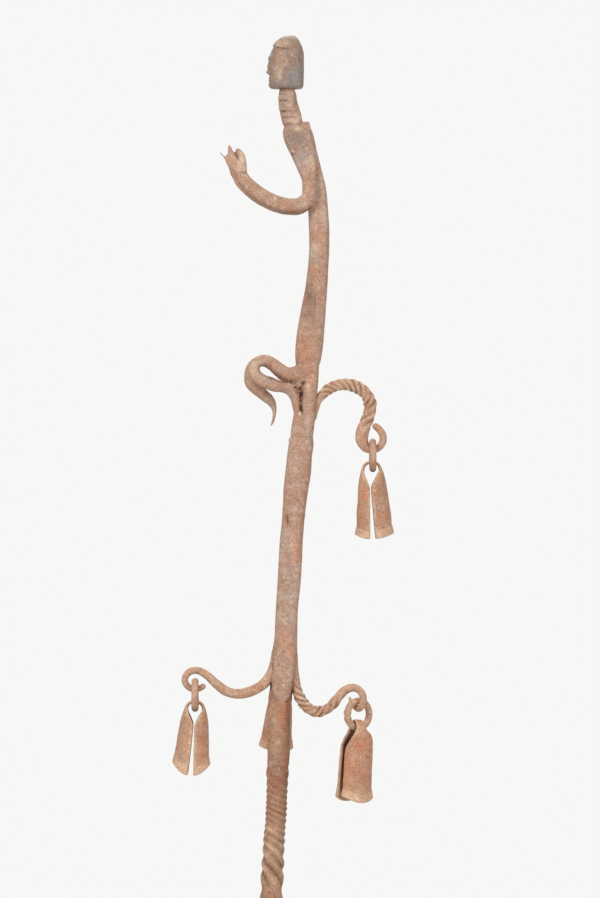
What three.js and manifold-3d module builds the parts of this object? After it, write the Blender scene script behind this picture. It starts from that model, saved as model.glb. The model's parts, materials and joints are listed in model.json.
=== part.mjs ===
import * as THREE from 'three';
import { mergeVertices } from 'three/addons/utils/BufferGeometryUtils.js';
import Module from 'manifold-3d';

// A forged iron staff with a kneeling figure on top and four bells on hooks.
// Millimetres, Z up, origin on the staff's line where it meets the ground. The figure faces -X,
// and its left side is towards -Y.

// Shaft, from the point that goes into the ground to the collar under the figure
const lowerRise = 228.8;
const lowerGirth = 13;
const tangLength = 130;
const splitOffset = 7.4;
const upperRise = 157.5;
const upperGirth = 14.4;
const collarOffset = 13.1;

// Figure
const torsoRise = 188.7;
const torsoGirth = 12.6;
const armReach = 46.2;
const armGirth = 8.6;
const legReach = 33;
const legGirth = 8;
const neckRise = 20;
const neckGirth = 12;
const headHeight = 31.8;
const headLength = 21.6;
const headWidth = 19.4;

// Hooks
const upperReach = 41.4;
const upperHookGirth = 6.6;
const leftReach = 54;
const leftHookGirth = 6.2;
const rightReach = 41.4;
const rightHookGirth = 6.2;
const backReach = 46;
const backHookGirth = 6.2;
const upperEyePlay = 2.34;
const leftEyePlay = 1.57;
const rightEyePlay = 1.77;
const backEyePlay = 1.57;

// Rings and bells
const ringRadius = 8.05;
const ringWire = 4.1;
const sheet = 1.8;
const neckStrip = 5.3;
const upperBell = {
  height: 44.4, shoulder: 13, mouth: 23.2, depth: 19, drop: 2.4, shift: -0.7, skew: 0,
  slitTop: 0.6, slitMouth: 3.4, slitAside: -1.2,
};
const leftBell = {
  height: 38.4, shoulder: 12.6, mouth: 22.8, depth: 18, drop: 6.2, shift: 0, skew: 0,
  slitTop: 0.6, slitMouth: 3.2, slitAside: 0,
};
const rightBell = {
  height: 49.4, shoulder: 14.2, mouth: 22.4, depth: 19.4, drop: -3, shift: 0, skew: -5,
  slitTop: 4, slitMouth: 5.6, slitAside: 0,
};
const backBell = {
  height: 38.6, shoulder: 12.6, mouth: 21, depth: 18, drop: 1.4, shift: 0, skew: 0,
  slitTop: 0.6, slitMouth: 3.2, slitAside: 0,
};

// How the right ring and bell hang: degrees from the X axis to the eye's wire, from there to the
// bell's wings, and round the ring from its lowest place to where the bell hangs
const rightYaw = -55;
const rightBellYaw = -8;
const rightAlong = -3.6;
// How far the other bells lean out of plumb, in degrees
const upperLean = -2.6;
const leftLean = 3.7;
const backLean = 5.5;

// Fits
const weldGap = 0.3;
const hangPlay = 0.6;

// How finely the surfaces are divided
const rowLength = 13;
const finestRow = 0.1;
const mergeTolerance = 1e-4;
const rowsPerTurn = 6.5;
const rowsPerRadian = 2.3;
const samplesPerStation = 24;
const ringSides = 8;
const ringSegments = 20;
const headRows = 22;
const headColumns = 28;
const bellRows = 26;
const bellColumns = 6;
const pointsPerCorner = 3;
const sectionPoints = 4 * pointsPerCorner;
const quarter = Math.PI / 2;
const roundSpread = quarter / pointsPerCorner;
const squareSpread = quarter / 6;
const nudgeShare = 1e-3;
const minimumShare = 1e-9;
const roundingShares = [0.06, 0.35, 1];
const cornerShare = 0.87;
const bluntShare = 0.28;
const tipShare = 0.45;
const nailShare = 0.25;
const hookEndShare = 0.25;
const tongueShare = 0.5;
const eyeWireShare = 0.32;

// Each station of a bar: place along X, Y and Z as shares of the bar's reach, half width and half
// depth as shares of its girth, squareness from 0 for round to 1 for square, and turns of twist.
// Pointed square tang below the ground line
const tangShares = [
  [0, 0, -1, 0.05, 0.05, 1, 0],
  [0, 0, -0.92, 0.18, 0.18, 1, 0],
  [0, 0, -0.677, 0.45, 0.45, 1, 0],
  [0, 0, -0.6, 0.48, 0.48, 1, 0],
  [0, 0, -0.477, 0.48, 0.48, 1, 0],
  [0, 0, -0.123, 0.48, 0.48, 1, 0],
];
// Lower shaft, square at the foot, twisted in the middle, thinned behind the lap at the top
const lowerShaftShares = [
  [0, 0, 0, 0.48, 0.48, 1, 0],
  [0.002, 0, 0.240, 0.47, 0.47, 1, 0],
  [0.006, 0, 0.371, 0.45, 0.45, 0.95, 0],
  [0.010, 0, 0.489, 0.43, 0.43, 0.8, -0.2],
  [0.013, 0, 0.546, 0.42, 0.42, 0.75, -0.45],
  [0.016, 0, 0.612, 0.42, 0.42, 0.75, -0.9],
  [0.018, 0, 0.646, 0.42, 0.42, 0.72, -1.3],
  [0.021, 0, 0.680, 0.42, 0.42, 0.7, -1.8],
  [0.023, 0, 0.712, 0.42, 0.42, 0.65, -2.3],
  [0.024, 0, 0.743, 0.42, 0.42, 0.52, -2.85],
  [0.025, 0, 0.774, 0.43, 0.43, 0.38, -3.3],
  [0.026, 0, 0.811, 0.46, 0.46, 0.18, -3.65],
  [0.029, 0, 0.848, 0.48, 0.48, 0.12, -3.85],
  [0.030, 0, 0.927, 0.50, 0.49, 0.2, -3.85],
  [0.032, 0.005, 0.990, 0.50, 0.43, 0.3, -3.85],
  [0.036, 0.015, 1.037, 0.46, 0.32, 0.3, -3.85],
  [0.040, 0.018, 1.073, 0.42, 0.26, 0.3, -3.85],
  [0.044, 0.020, 1.108, 0.35, 0.20, 0.3, -3.85],
];
// Upper shaft, from the rounded tongue that laps over the lower shaft to the collar
const upperShaftShares = [
  [0.002, -0.029, -0.018, 0.31, 0.09, 0.2],
  [0.004, -0.029, 0.011, 0.42, 0.16, 0.25],
  [0.006, -0.025, 0.053, 0.45, 0.22, 0.3],
  [0.012, -0.015, 0.107, 0.47, 0.33, 0.35],
  [0.019, -0.005, 0.171, 0.49, 0.44, 0.4],
  [0.025, 0, 0.251, 0.47, 0.47, 0.45],
  [0.029, 0, 0.335, 0.46, 0.47, 0.5],
  [0.035, 0, 0.427, 0.48, 0.48, 0.5],
  [0.041, 0, 0.518, 0.49, 0.48, 0.5],
  [0.046, 0, 0.610, 0.48, 0.47, 0.5],
  [0.052, 0, 0.678, 0.47, 0.47, 0.5],
  [0.058, 0, 0.747, 0.48, 0.48, 0.5],
  [0.062, 0, 0.792, 0.51, 0.49, 0.5],
  [0.071, 0, 0.861, 0.53, 0.50, 0.45],
  [0.077, 0, 0.930, 0.52, 0.50, 0.45],
  [0.083, 0, 0.975, 0.52, 0.50, 0.4],
  [0.083, 0, 1.000, 0.51, 0.49, 0.4],
];
// Torso, from its tenon in the shaft over its thick root, hips and chest to the flat shoulders
const torsoShares = [
  [0.001, 0, -0.078, 0.21, 0.21, 0.4],
  [0.002, 0, -0.024, 0.30, 0.30, 0.4],
  [0.002, 0, -0.007, 0.37, 0.35, 0.4],
  [0.002, 0, 0.002, 0.53, 0.50, 0.4],
  [0.004, 0, 0.021, 0.54, 0.52, 0.4],
  [0.008, 0, 0.049, 0.53, 0.51, 0.4],
  [0.011, 0, 0.070, 0.52, 0.50, 0.4],
  [0.017, 0, 0.091, 0.43, 0.45, 0.4],
  [0.024, 0, 0.113, 0.37, 0.41, 0.4],
  [0.028, 0, 0.145, 0.35, 0.39, 0.4],
  [0.029, 0, 0.176, 0.39, 0.41, 0.4],
  [0.025, 0, 0.205, 0.48, 0.45, 0.4],
  [0.021, 0, 0.231, 0.57, 0.48, 0.4],
  [0.023, 0, 0.262, 0.64, 0.52, 0.4],
  [0.027, 0, 0.300, 0.66, 0.52, 0.4],
  [0.032, 0, 0.348, 0.63, 0.52, 0.4],
  [0.039, 0, 0.405, 0.59, 0.49, 0.4],
  [0.047, 0, 0.466, 0.53, 0.48, 0.4],
  [0.053, 0, 0.533, 0.50, 0.48, 0.4],
  [0.057, 0, 0.596, 0.48, 0.48, 0.4],
  [0.057, 0, 0.672, 0.48, 0.48, 0.4],
  [0.053, 0, 0.736, 0.48, 0.48, 0.4],
  [0.045, 0, 0.793, 0.50, 0.44, 0.45],
  [0.031, 0, 0.844, 0.52, 0.36, 0.45],
  [0.016, 0, 0.892, 0.56, 0.31, 0.5],
  [0.003, 0, 0.940, 0.60, 0.29, 0.5],
  [-0.008, 0, 0.978, 0.58, 0.29, 0.5],
  [-0.011, 0, 1.000, 0.55, 0.29, 0.5],
];
// Neck, a blunt square bar with a slight twist and a tenon at each end
const neckShares = [
  [0.048, 0, -0.420, 0.30, 0.30, 0.3, 0],
  [0.024, 0, -0.210, 0.35, 0.35, 0.3, 0],
  [0, 0, 0, 0.47, 0.43, 0.45, 0.02],
  [-0.036, 0, 0.168, 0.46, 0.43, 0.5, 0.06],
  [-0.072, 0, 0.330, 0.44, 0.42, 0.5, 0.1],
  [-0.105, 0, 0.495, 0.43, 0.42, 0.5, 0.14],
  [-0.132, 0, 0.660, 0.43, 0.42, 0.5, 0.18],
  [-0.150, 0, 0.822, 0.44, 0.42, 0.45, 0.22],
  [-0.162, 0, 0.990, 0.38, 0.38, 0.4, 0.25],
  [-0.168, 0, 1.140, 0.28, 0.28, 0.3, 0.25],
  [-0.171, 0, 1.320, 0.27, 0.27, 0.3, 0.25],
];
// Left arm from the shoulder round the elbow to the palm
const leftArmShares = [
  [0.077, -0.100, 0.071, 0.72, 0.26, 0.4],
  [0.069, -0.108, -0.026, 0.90, 0.30, 0.4],
  [0.105, -0.117, -0.143, 0.92, 0.33, 0.4],
  [0.152, -0.126, -0.273, 0.83, 0.35, 0.4],
  [0.191, -0.136, -0.403, 0.73, 0.37, 0.4],
  [0.222, -0.152, -0.532, 0.60, 0.40, 0.35],
  [0.243, -0.167, -0.649, 0.51, 0.42, 0.35],
  [0.245, -0.177, -0.766, 0.51, 0.42, 0.3],
  [0.227, -0.184, -0.890, 0.50, 0.42, 0.3],
  [0.110, -0.190, -0.974, 0.51, 0.43, 0.3],
  [-0.019, -0.197, -0.984, 0.51, 0.44, 0.3],
  [-0.136, -0.203, -0.961, 0.50, 0.44, 0.3],
  [-0.266, -0.212, -0.913, 0.50, 0.43, 0.3],
  [-0.396, -0.221, -0.838, 0.49, 0.42, 0.3],
  [-0.526, -0.225, -0.734, 0.48, 0.40, 0.3],
  [-0.612, -0.227, -0.636, 0.45, 0.36, 0.3],
  [-0.649, -0.227, -0.552, 0.48, 0.33, 0.3],
  [-0.660, -0.227, -0.481, 0.57, 0.29, 0.3],
  [-0.671, -0.227, -0.403, 0.55, 0.24, 0.3],
];
const leftFingerShares = [
  [-0.695, -0.227, -0.506, 0.30, 0.22, 0.2],
  [-0.730, -0.229, -0.403, 0.30, 0.20, 0.2],
  [-0.760, -0.234, -0.325, 0.24, 0.17, 0.2],
  [-0.782, -0.238, -0.253, 0.14, 0.13, 0.2],
  [-0.792, -0.240, -0.205, 0.06, 0.06, 0.2],
];
const leftThumbShares = [
  [-0.630, -0.227, -0.519, 0.33, 0.23, 0.2],
  [-0.618, -0.227, -0.416, 0.31, 0.22, 0.2],
  [-0.648, -0.232, -0.330, 0.27, 0.21, 0.2],
  [-0.684, -0.236, -0.271, 0.20, 0.17, 0.2],
  [-0.705, -0.238, -0.242, 0.10, 0.10, 0.2],
];
// Right arm
const rightArmShares = [
  [0.082, 0.100, 0.065, 0.70, 0.26, 0.4],
  [0.074, 0.108, -0.026, 0.87, 0.30, 0.4],
  [0.110, 0.117, -0.143, 0.90, 0.33, 0.4],
  [0.157, 0.126, -0.273, 0.80, 0.35, 0.4],
  [0.196, 0.136, -0.403, 0.72, 0.37, 0.4],
  [0.227, 0.152, -0.532, 0.59, 0.40, 0.35],
  [0.248, 0.167, -0.649, 0.51, 0.42, 0.35],
  [0.253, 0.177, -0.779, 0.49, 0.42, 0.3],
  [0.232, 0.184, -0.896, 0.49, 0.42, 0.3],
  [0.110, 0.190, -0.982, 0.49, 0.43, 0.3],
  [-0.019, 0.197, -0.992, 0.49, 0.44, 0.3],
  [-0.142, 0.203, -0.969, 0.49, 0.44, 0.3],
  [-0.271, 0.212, -0.922, 0.48, 0.43, 0.3],
  [-0.404, 0.221, -0.849, 0.48, 0.42, 0.3],
  [-0.539, 0.225, -0.748, 0.45, 0.40, 0.3],
  [-0.638, 0.227, -0.649, 0.43, 0.36, 0.3],
  [-0.684, 0.227, -0.558, 0.44, 0.33, 0.3],
  [-0.716, 0.227, -0.481, 0.48, 0.29, 0.3],
  [-0.749, 0.227, -0.409, 0.41, 0.24, 0.3],
];
const rightFingerShares = [
  [-0.760, 0.227, -0.481, 0.23, 0.19, 0.2],
  [-0.817, 0.232, -0.395, 0.15, 0.14, 0.2],
  [-0.856, 0.238, -0.338, 0.09, 0.09, 0.2],
  [-0.892, 0.242, -0.294, 0.06, 0.06, 0.2],
  [-0.923, 0.245, -0.257, 0.05, 0.05, 0.2],
];
const rightThumbShares = [
  [-0.726, 0.227, -0.481, 0.27, 0.21, 0.2],
  [-0.770, 0.227, -0.390, 0.24, 0.20, 0.2],
  [-0.804, 0.232, -0.325, 0.20, 0.17, 0.2],
  [-0.822, 0.236, -0.291, 0.14, 0.14, 0.2],
  [-0.831, 0.238, -0.270, 0.08, 0.08, 0.2],
];
// Left leg from the hip over the knee and back to the torso's root
const leftLegShares = [
  [0.073, -0.018, 0.091, 0.40, 0.28, 0.3],
  [-0.036, -0.048, 0.015, 0.65, 0.38, 0.3],
  [-0.153, -0.100, -0.051, 0.64, 0.44, 0.3],
  [-0.273, -0.152, -0.078, 0.55, 0.44, 0.3],
  [-0.396, -0.188, -0.073, 0.49, 0.42, 0.3],
  [-0.536, -0.197, 0.009, 0.45, 0.40, 0.3],
  [-0.664, -0.197, 0.113, 0.41, 0.39, 0.3],
  [-0.791, -0.197, 0.171, 0.39, 0.38, 0.3],
  [-0.918, -0.197, 0.142, 0.39, 0.38, 0.3],
  [-0.993, -0.197, 0.045, 0.39, 0.38, 0.3],
  [-0.967, -0.197, -0.082, 0.40, 0.38, 0.3],
  [-0.864, -0.197, -0.182, 0.45, 0.38, 0.3],
  [-0.733, -0.194, -0.244, 0.50, 0.38, 0.3],
  [-0.605, -0.188, -0.291, 0.46, 0.36, 0.3],
  [-0.473, -0.176, -0.320, 0.38, 0.33, 0.3],
  [-0.356, -0.148, -0.375, 0.35, 0.31, 0.3],
  [-0.273, -0.118, -0.502, 0.31, 0.30, 0.3],
  [-0.236, -0.091, -0.644, 0.29, 0.31, 0.3],
  [-0.207, -0.073, -0.782, 0.28, 0.33, 0.3],
  [-0.185, -0.055, -0.927, 0.24, 0.29, 0.3],
];
// Rusty web that fills the crevice between the left foot and the torso
const leftWebShares = [
  [-0.229, -0.073, -0.149, 0.36, 0.19, 0.2],
  [-0.207, -0.042, -0.309, 0.39, 0.19, 0.2],
  [-0.182, -0.021, -0.491, 0.33, 0.19, 0.2],
  [-0.164, -0.018, -0.673, 0.30, 0.20, 0.2],
  [-0.142, -0.015, -0.818, 0.25, 0.20, 0.2],
];
// Right leg, down to its pointed foot
const rightLegShares = [
  [0.073, 0.018, 0.073, 0.40, 0.28, 0.3],
  [-0.036, 0.055, -0.033, 0.50, 0.40, 0.3],
  [-0.156, 0.109, -0.102, 0.51, 0.45, 0.3],
  [-0.284, 0.155, -0.124, 0.49, 0.44, 0.3],
  [-0.418, 0.188, -0.109, 0.47, 0.42, 0.3],
  [-0.549, 0.197, -0.018, 0.44, 0.40, 0.3],
  [-0.676, 0.197, 0.087, 0.40, 0.39, 0.3],
  [-0.804, 0.197, 0.153, 0.39, 0.38, 0.3],
  [-0.942, 0.197, 0.142, 0.39, 0.38, 0.3],
  [-1.044, 0.197, 0.045, 0.40, 0.38, 0.3],
  [-1.076, 0.197, -0.100, 0.42, 0.38, 0.3],
  [-1.047, 0.197, -0.244, 0.45, 0.38, 0.3],
  [-0.942, 0.188, -0.356, 0.44, 0.36, 0.3],
  [-0.793, 0.176, -0.476, 0.40, 0.34, 0.3],
  [-0.684, 0.164, -0.585, 0.31, 0.29, 0.3],
  [-0.636, 0.152, -0.705, 0.17, 0.23, 0.3],
  [-0.633, 0.145, -0.825, 0.12, 0.17, 0.3],
  [-0.656, 0.142, -0.931, 0.10, 0.14, 0.3],
  [-0.695, 0.142, -1.022, 0.06, 0.07, 0.3],
];
// Upper hook, twisted up to its eye
const upperStemShares = [
  [0.010, 0, 0, 0.15, 0.23, 0.3, 0],
  [0.036, 0, 0.123, 0.24, 0.29, 0.3, 0],
  [0.071, 0, 0.238, 0.27, 0.30, 0.3, 0],
  [0.129, 0, 0.328, 0.35, 0.36, 0.5, 0.15],
  [0.204, 0, 0.406, 0.45, 0.45, 0.8, 0.5],
  [0.294, 0, 0.455, 0.48, 0.48, 0.9, 0.9],
  [0.406, 0, 0.484, 0.49, 0.49, 0.9, 1.35],
  [0.525, 0, 0.481, 0.50, 0.50, 0.9, 1.8],
  [0.633, 0, 0.446, 0.50, 0.50, 0.9, 2.2],
  [0.726, 0, 0.386, 0.50, 0.50, 0.85, 2.6],
  [0.793, 0, 0.299, 0.51, 0.51, 0.7, 3],
  [0.823, 0, 0.197, 0.52, 0.52, 0.5, 3.35],
  [0.816, 0, 0.096, 0.52, 0.52, 0.4, 3.65],
  [0.786, 0, -0.006, 0.50, 0.50, 0.4, 3.95],
  [0.742, 0, -0.110, 0.52, 0.50, 0.4, 4.2],
];
const upperEyeShares = [
  [-0.951, 0, 0.443, 0.55, 0.48, 0.3, 4.3],
  [-0.960, 0, -0.222, 0.53, 0.45, 0.2, 4.3],
  [-0.591, 0, -0.849, 0.41, 0.36, 0.1, 4.3],
  [0.018, 0, -1.071, 0.32, 0.32, 0, 4.3],
  [0.582, 0, -0.868, 0.32, 0.32, 0, 4.3],
  [0.932, 0, -0.369, 0.33, 0.32, 0, 4.3],
  [0.960, 0, 0.203, 0.33, 0.32, 0, 4.3],
  [0.702, 0, 0.702, 0.32, 0.32, 0, 4.3],
  [0.369, 0, 1.034, 0.30, 0.30, 0, 4.3],
  [0.037, -0.062, 1.218, 0.28, 0.28, 0, 4.3],
];
// Left hook, plain
const leftStemShares = [
  [0.062, 0, 0.233, 0.16, 0.42, 0.3, 0],
  [0.049, 0, 0.056, 0.35, 0.55, 0.3, 0],
  [0.027, 0, -0.100, 0.44, 0.58, 0.3, 0],
  [-0.027, 0, -0.222, 0.48, 0.55, 0.2, 0],
  [-0.109, 0, -0.320, 0.50, 0.52, 0.1, 0],
  [-0.244, 0, -0.397, 0.50, 0.50, 0, 0],
  [-0.389, 0, -0.431, 0.49, 0.49, 0, 0],
  [-0.527, 0, -0.402, 0.47, 0.47, 0, 0],
  [-0.644, 0, -0.318, 0.44, 0.44, 0, 0],
  [-0.733, 0, -0.233, 0.40, 0.40, 0, 0],
];
const leftEyeShares = [
  [0.686, 0, 0.879, 0.37, 0.37, 0, 0],
  [0.021, 0, 1.050, 0.35, 0.35, 0, 0],
  [-0.600, 0, 0.889, 0.34, 0.34, 0, 0],
  [-1.018, 0, 0.450, 0.32, 0.32, 0, 0],
  [-1.114, 0, -0.107, 0.31, 0.31, 0, 0],
  [-0.814, 0, -0.643, 0.31, 0.31, 0, 0],
  [-0.300, 0, -0.921, 0.31, 0.31, 0, 0],
  [0.257, 0, -0.932, 0.30, 0.30, 0, 0],
  [0.707, 0, -0.761, 0.29, 0.29, 0, 0],
  [1.029, 0, -0.461, 0.28, 0.28, 0, 0],
];
// Right hook, twisted, its eye turned towards the front
const rightStemShares = [
  [-0.035, 0, 0.217, 0.24, 0.48, 0.3, 0],
  [-0.020, 0, 0, 0.42, 0.55, 0.3, 0],
  [-0.006, 0, -0.188, 0.45, 0.53, 0.4, 0],
  [0.014, 0, -0.362, 0.44, 0.48, 0.6, -0.1],
  [0.046, 0, -0.516, 0.45, 0.47, 0.85, -0.49],
  [0.101, 0, -0.643, 0.47, 0.47, 0.9, -0.88],
  [0.180, 0, -0.745, 0.48, 0.48, 0.9, -1.29],
  [0.275, 0, -0.809, 0.48, 0.48, 0.9, -1.68],
  [0.386, 0, -0.814, 0.47, 0.47, 0.9, -2.06],
  [0.487, 0, -0.774, 0.44, 0.44, 0.9, -2.38],
  [0.565, 0, -0.707, 0.42, 0.42, 0.85, -2.62],
  [0.632, 0, -0.623, 0.40, 0.40, 0.75, -2.8],
  [0.699, 0, -0.545, 0.40, 0.40, 0.55, -2.91],
  [0.771, -0.007, -0.491, 0.39, 0.39, 0.3, -2.94],
];
const rightEyeShares = [
  [-0.476, -0.207, 1.138, 0.37, 0.37, 0.1, -2.94],
  [0.062, -0.552, 0.983, 0.36, 0.36, 0, -2.94],
  [0.455, -0.897, 0.538, 0.35, 0.35, 0, -2.94],
  [0.600, -1.069, -0.041, 0.34, 0.34, 0, -2.94],
  [0.517, -0.931, -0.579, 0.33, 0.33, 0, -2.94],
  [0.269, -0.534, -0.962, 0.32, 0.32, 0, -2.94],
  [0, -0.034, -1.024, 0.31, 0.31, 0, -2.94],
  [-0.228, 0.379, -0.848, 0.30, 0.30, 0, -2.94],
  [-0.352, 0.621, -0.579, 0.28, 0.28, 0, -2.94],
];
// Back hook, straight back from the shaft
const backStemShares = [
  [0.005, 0.113, 0.130, 0.35, 0.26, 0.2, 0],
  [0.004, 0.130, 0, 0.47, 0.39, 0.2, 0],
  [0.004, 0.174, -0.157, 0.48, 0.48, 0.1, 0],
  [0.008, 0.257, -0.287, 0.48, 0.48, 0, 0],
  [0.021, 0.383, -0.383, 0.47, 0.47, 0, 0],
  [0.047, 0.535, -0.417, 0.45, 0.45, 0, 0],
  [0.083, 0.683, -0.370, 0.42, 0.42, 0, 0],
  [0.104, 0.809, -0.266, 0.39, 0.39, 0, 0],
];
const backEyeShares = [
  [1.136, -0.607, 0.429, 0.35, 0.35, 0, 0],
  [0.686, -0.143, 1.050, 0.34, 0.34, 0, 0],
  [0.021, 0, 1.264, 0.33, 0.33, 0, 0],
  [-0.643, 0.036, 0.964, 0.32, 0.32, 0, 0],
  [-0.986, 0.036, 0.279, 0.32, 0.32, 0, 0],
  [-0.943, 0.018, -0.429, 0.31, 0.31, 0, 0],
  [-0.557, 0, -0.911, 0.31, 0.31, 0, 0],
  [0.021, 0, -1.061, 0.31, 0.31, 0, 0],
  [0.579, 0, -0.911, 0.29, 0.29, 0, 0],
  [0.921, 0, -0.514, 0.27, 0.27, 0, 0],
];
// Spur of wire that stands up from the right ring where its ends meet
const spurShares = [
  [0, -0.6, 0.76, 0.32, 0.32, 0],
  [0, -0.67, 0.95, 0.27, 0.27, 0],
  [0, -0.74, 1.14, 0.22, 0.22, 0],
  [0, -0.8, 1.32, 0.15, 0.15, 0],
];

// Places where a piece starts, as shares of the reach of the piece that carries it
const shoulderShare = [-0.034, 0, 0.975];
const hipShare = [0.025, 0, 0.215];
const neckFootShare = [-0.028, 0, 1];
const headFootShare = [-0.22, 0, 1.035];
const upperRootShare = [0.039, 0, 0.062];
const leftRootShare = [-0.02, 0, 0.171];
const rightRootShare = [0.056, 0, 0.171];
const backRootShare = [0.018, 0, 0.183];
const upperEyeAtShare = [0.857, 0, -0.293];
const leftEyeAtShare = [-0.876, 0, -0.278];
const rightEyeAtShare = [0.919, 0, -0.629];
const backEyeAtShare = [-0.047, 0.978, -0.209];

// Bell outline from the fold at the top down to the mouth. Each row: distance down as a share of the
// height, share of the shoulder's half width, share of the step from shoulder to mouth, share of the
// step from the strip's width to the full depth, and how far the wing closes.
const bellOutlineShares = [
  [0, 0, 0, 0, 0],
  [0.012, 0.36, 0, 0, 0],
  [0.042, 0.63, 0, 0.03, 0.02],
  [0.09, 0.8, 0, 0.08, 0.1],
  [0.145, 0.89, 0.03, 0.28, 0.32],
  [0.2, 0.95, 0.1, 0.58, 0.56],
  [0.27, 0.98, 0.21, 0.84, 0.82],
  [0.35, 1, 0.32, 0.92, 1],
  [0.48, 1, 0.44, 0.94, 1],
  [0.62, 1, 0.55, 0.96, 1],
  [0.76, 1, 0.66, 0.98, 1],
  [0.87, 1, 0.77, 1, 1],
  [0.94, 1, 0.89, 1.03, 1],
  [1, 1, 1, 1.07, 1],
];

// Head outline from the underside to the crown: height as a share of the head's height, then reach
// forward, reach back and half width as shares of its length and width.
const headOutlineShares = [
  [0, 0.4, 0.47, 0.4],
  [0.04, 0.43, 0.51, 0.44],
  [0.1, 0.44, 0.52, 0.46],
  [0.2, 0.43, 0.525, 0.48],
  [0.32, 0.44, 0.53, 0.49],
  [0.45, 0.45, 0.53, 0.5],
  [0.56, 0.45, 0.53, 0.5],
  [0.66, 0.405, 0.525, 0.485],
  [0.76, 0.34, 0.49, 0.44],
  [0.85, 0.26, 0.435, 0.37],
  [0.92, 0.16, 0.38, 0.28],
  [0.97, 0.06, 0.315, 0.18],
  [0.995, -0.06, 0.27, 0.08],
  [1, -0.13, 0.21, 0.03],
];

// Raised and sunk parts of the face: angle from straight ahead and its spread in radians, height and
// its spread as shares of the head's height, and how far it stands out as a share of its length.
const faceShares = [
  [0, 0.16, 0.4, 0.085, 0.045],
  [0, 0.2, 0.305, 0.035, 0.075],
  [0, 0.55, 0.575, 0.03, 0.028],
  [0.48, 0.2, 0.49, 0.04, -0.03],
  [-0.48, 0.2, 0.49, 0.04, -0.03],
  [0.46, 0.13, 0.485, 0.018, 0.026],
  [-0.46, 0.13, 0.485, 0.018, 0.026],
  [0, 0.3, 0.195, 0.016, 0.026],
  [0, 0.26, 0.155, 0.016, 0.024],
  [0, 0.34, 0.176, 0.006, -0.016],
  [0, 0.3, 0.06, 0.04, 0.02],
  [1.55, 0.12, 0.44, 0.09, 0.04],
  [-1.55, 0.12, 0.44, 0.09, 0.04],
];
const capLineShare = 0.745;
const capReachShare = 0.03;
const capEdgeShare = 0.012;
const capFadeShare = 0.4;
const headSquareness = 2.5;

const degrees = Math.PI / 180;
const wasm = await Module();
wasm.setup();

function toSolid(geometry) {
  const bare = new THREE.BufferGeometry();
  bare.setAttribute('position', geometry.getAttribute('position').clone());
  if (geometry.index) bare.setIndex(geometry.index.clone());
  const welded = mergeVertices(bare, mergeTolerance);
  const mesh = new wasm.Mesh({
    numProp: 3,
    vertProperties: new Float32Array(welded.getAttribute('position').array),
    triVerts: new Uint32Array(welded.index.array),
  });
  return new wasm.Manifold(mesh);
}

// Keeps the main body where a cut leaves slivers beside it.
function mainBody(solid) {
  const bodies = solid.decompose();
  bodies.sort((a, b) => b.volume() - a.volume());
  return bodies[0];
}

function toGeometry(solid) {
  const { vertProperties, triVerts, numProp } = solid.getMesh();
  const geometry = new THREE.BufferGeometry();
  const places = new Float32Array((vertProperties.length / numProp) * 3);
  for (let i = 0, at = 0; i < vertProperties.length; i += numProp) {
    places[at++] = vertProperties[i];
    places[at++] = vertProperties[i + 1];
    places[at++] = vertProperties[i + 2];
  }
  geometry.setAttribute('position', new THREE.BufferAttribute(places, 3));
  geometry.setIndex(Array.from(triVerts));
  geometry.computeVertexNormals();
  return geometry;
}

// A closed surface from rows of equal rings, with a fan or a strip over each end.
function ringsToGeometry(rings, capStyle = 'fan') {
  const count = rings[0].length;
  const points = rings.flat();
  const faces = [];
  for (let row = 0; row + 1 < rings.length; row++) {
    for (let i = 0; i < count; i++) {
      const a = row * count + i;
      const b = row * count + ((i + 1) % count);
      faces.push(a, b, b + count, a, b + count, a + count);
    }
  }
  for (const row of [0, rings.length - 1]) {
    const start = row * count;
    const flip = row === 0;
    const add = (a, b, c) => (flip ? faces.push(a, c, b) : faces.push(a, b, c));
    if (capStyle === 'fan') {
      const middle = new THREE.Vector3();
      for (const point of rings[row]) middle.addScaledVector(point, 1 / count);
      points.push(middle);
      for (let i = 0; i < count; i++) add(start + i, start + ((i + 1) % count), points.length - 1);
    } else {
      for (let i = 0; i + 1 < count / 2; i++) {
        const far = count - 1 - i;
        add(start + i, start + i + 1, start + far - 1);
        add(start + i, start + far - 1, start + far);
      }
    }
  }
  const geometry = new THREE.BufferGeometry().setFromPoints(points);
  geometry.setIndex(faces);
  let volume = 0;
  for (let i = 0; i < faces.length; i += 3) {
    const [a, b, c] = [faces[i], faces[i + 1], faces[i + 2]];
    volume += points[a].dot(new THREE.Vector3().crossVectors(points[b], points[c]));
  }
  if (volume < 0) {
    for (let i = 0; i < faces.length; i += 3) [faces[i], faces[i + 1]] = [faces[i + 1], faces[i]];
    geometry.setIndex(faces);
  }
  return geometry;
}

function lay(shares, origin, reach, girth) {
  return shares.map(([x, y, z, wide, deep, square, turns = 0]) => ({
    place: new THREE.Vector3(x, y, z).multiplyScalar(reach).add(origin),
    wide: wide * girth,
    deep: deep * girth,
    square,
    turns,
  }));
}

// Smooth lines through the stations: one for the places, one for the section, one for the twist.
function linesOf(stations) {
  const through = (points, type) => new THREE.CatmullRomCurve3(points, false, type, 0.5);
  return {
    place: through(stations.map((s) => s.place), 'centripetal'),
    section: through(stations.map((s) => new THREE.Vector3(s.wide, s.deep, s.square)), 'catmullrom'),
    twist: through(stations.map((s) => new THREE.Vector3(s.turns, 0, 0)), 'catmullrom'),
  };
}

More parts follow.
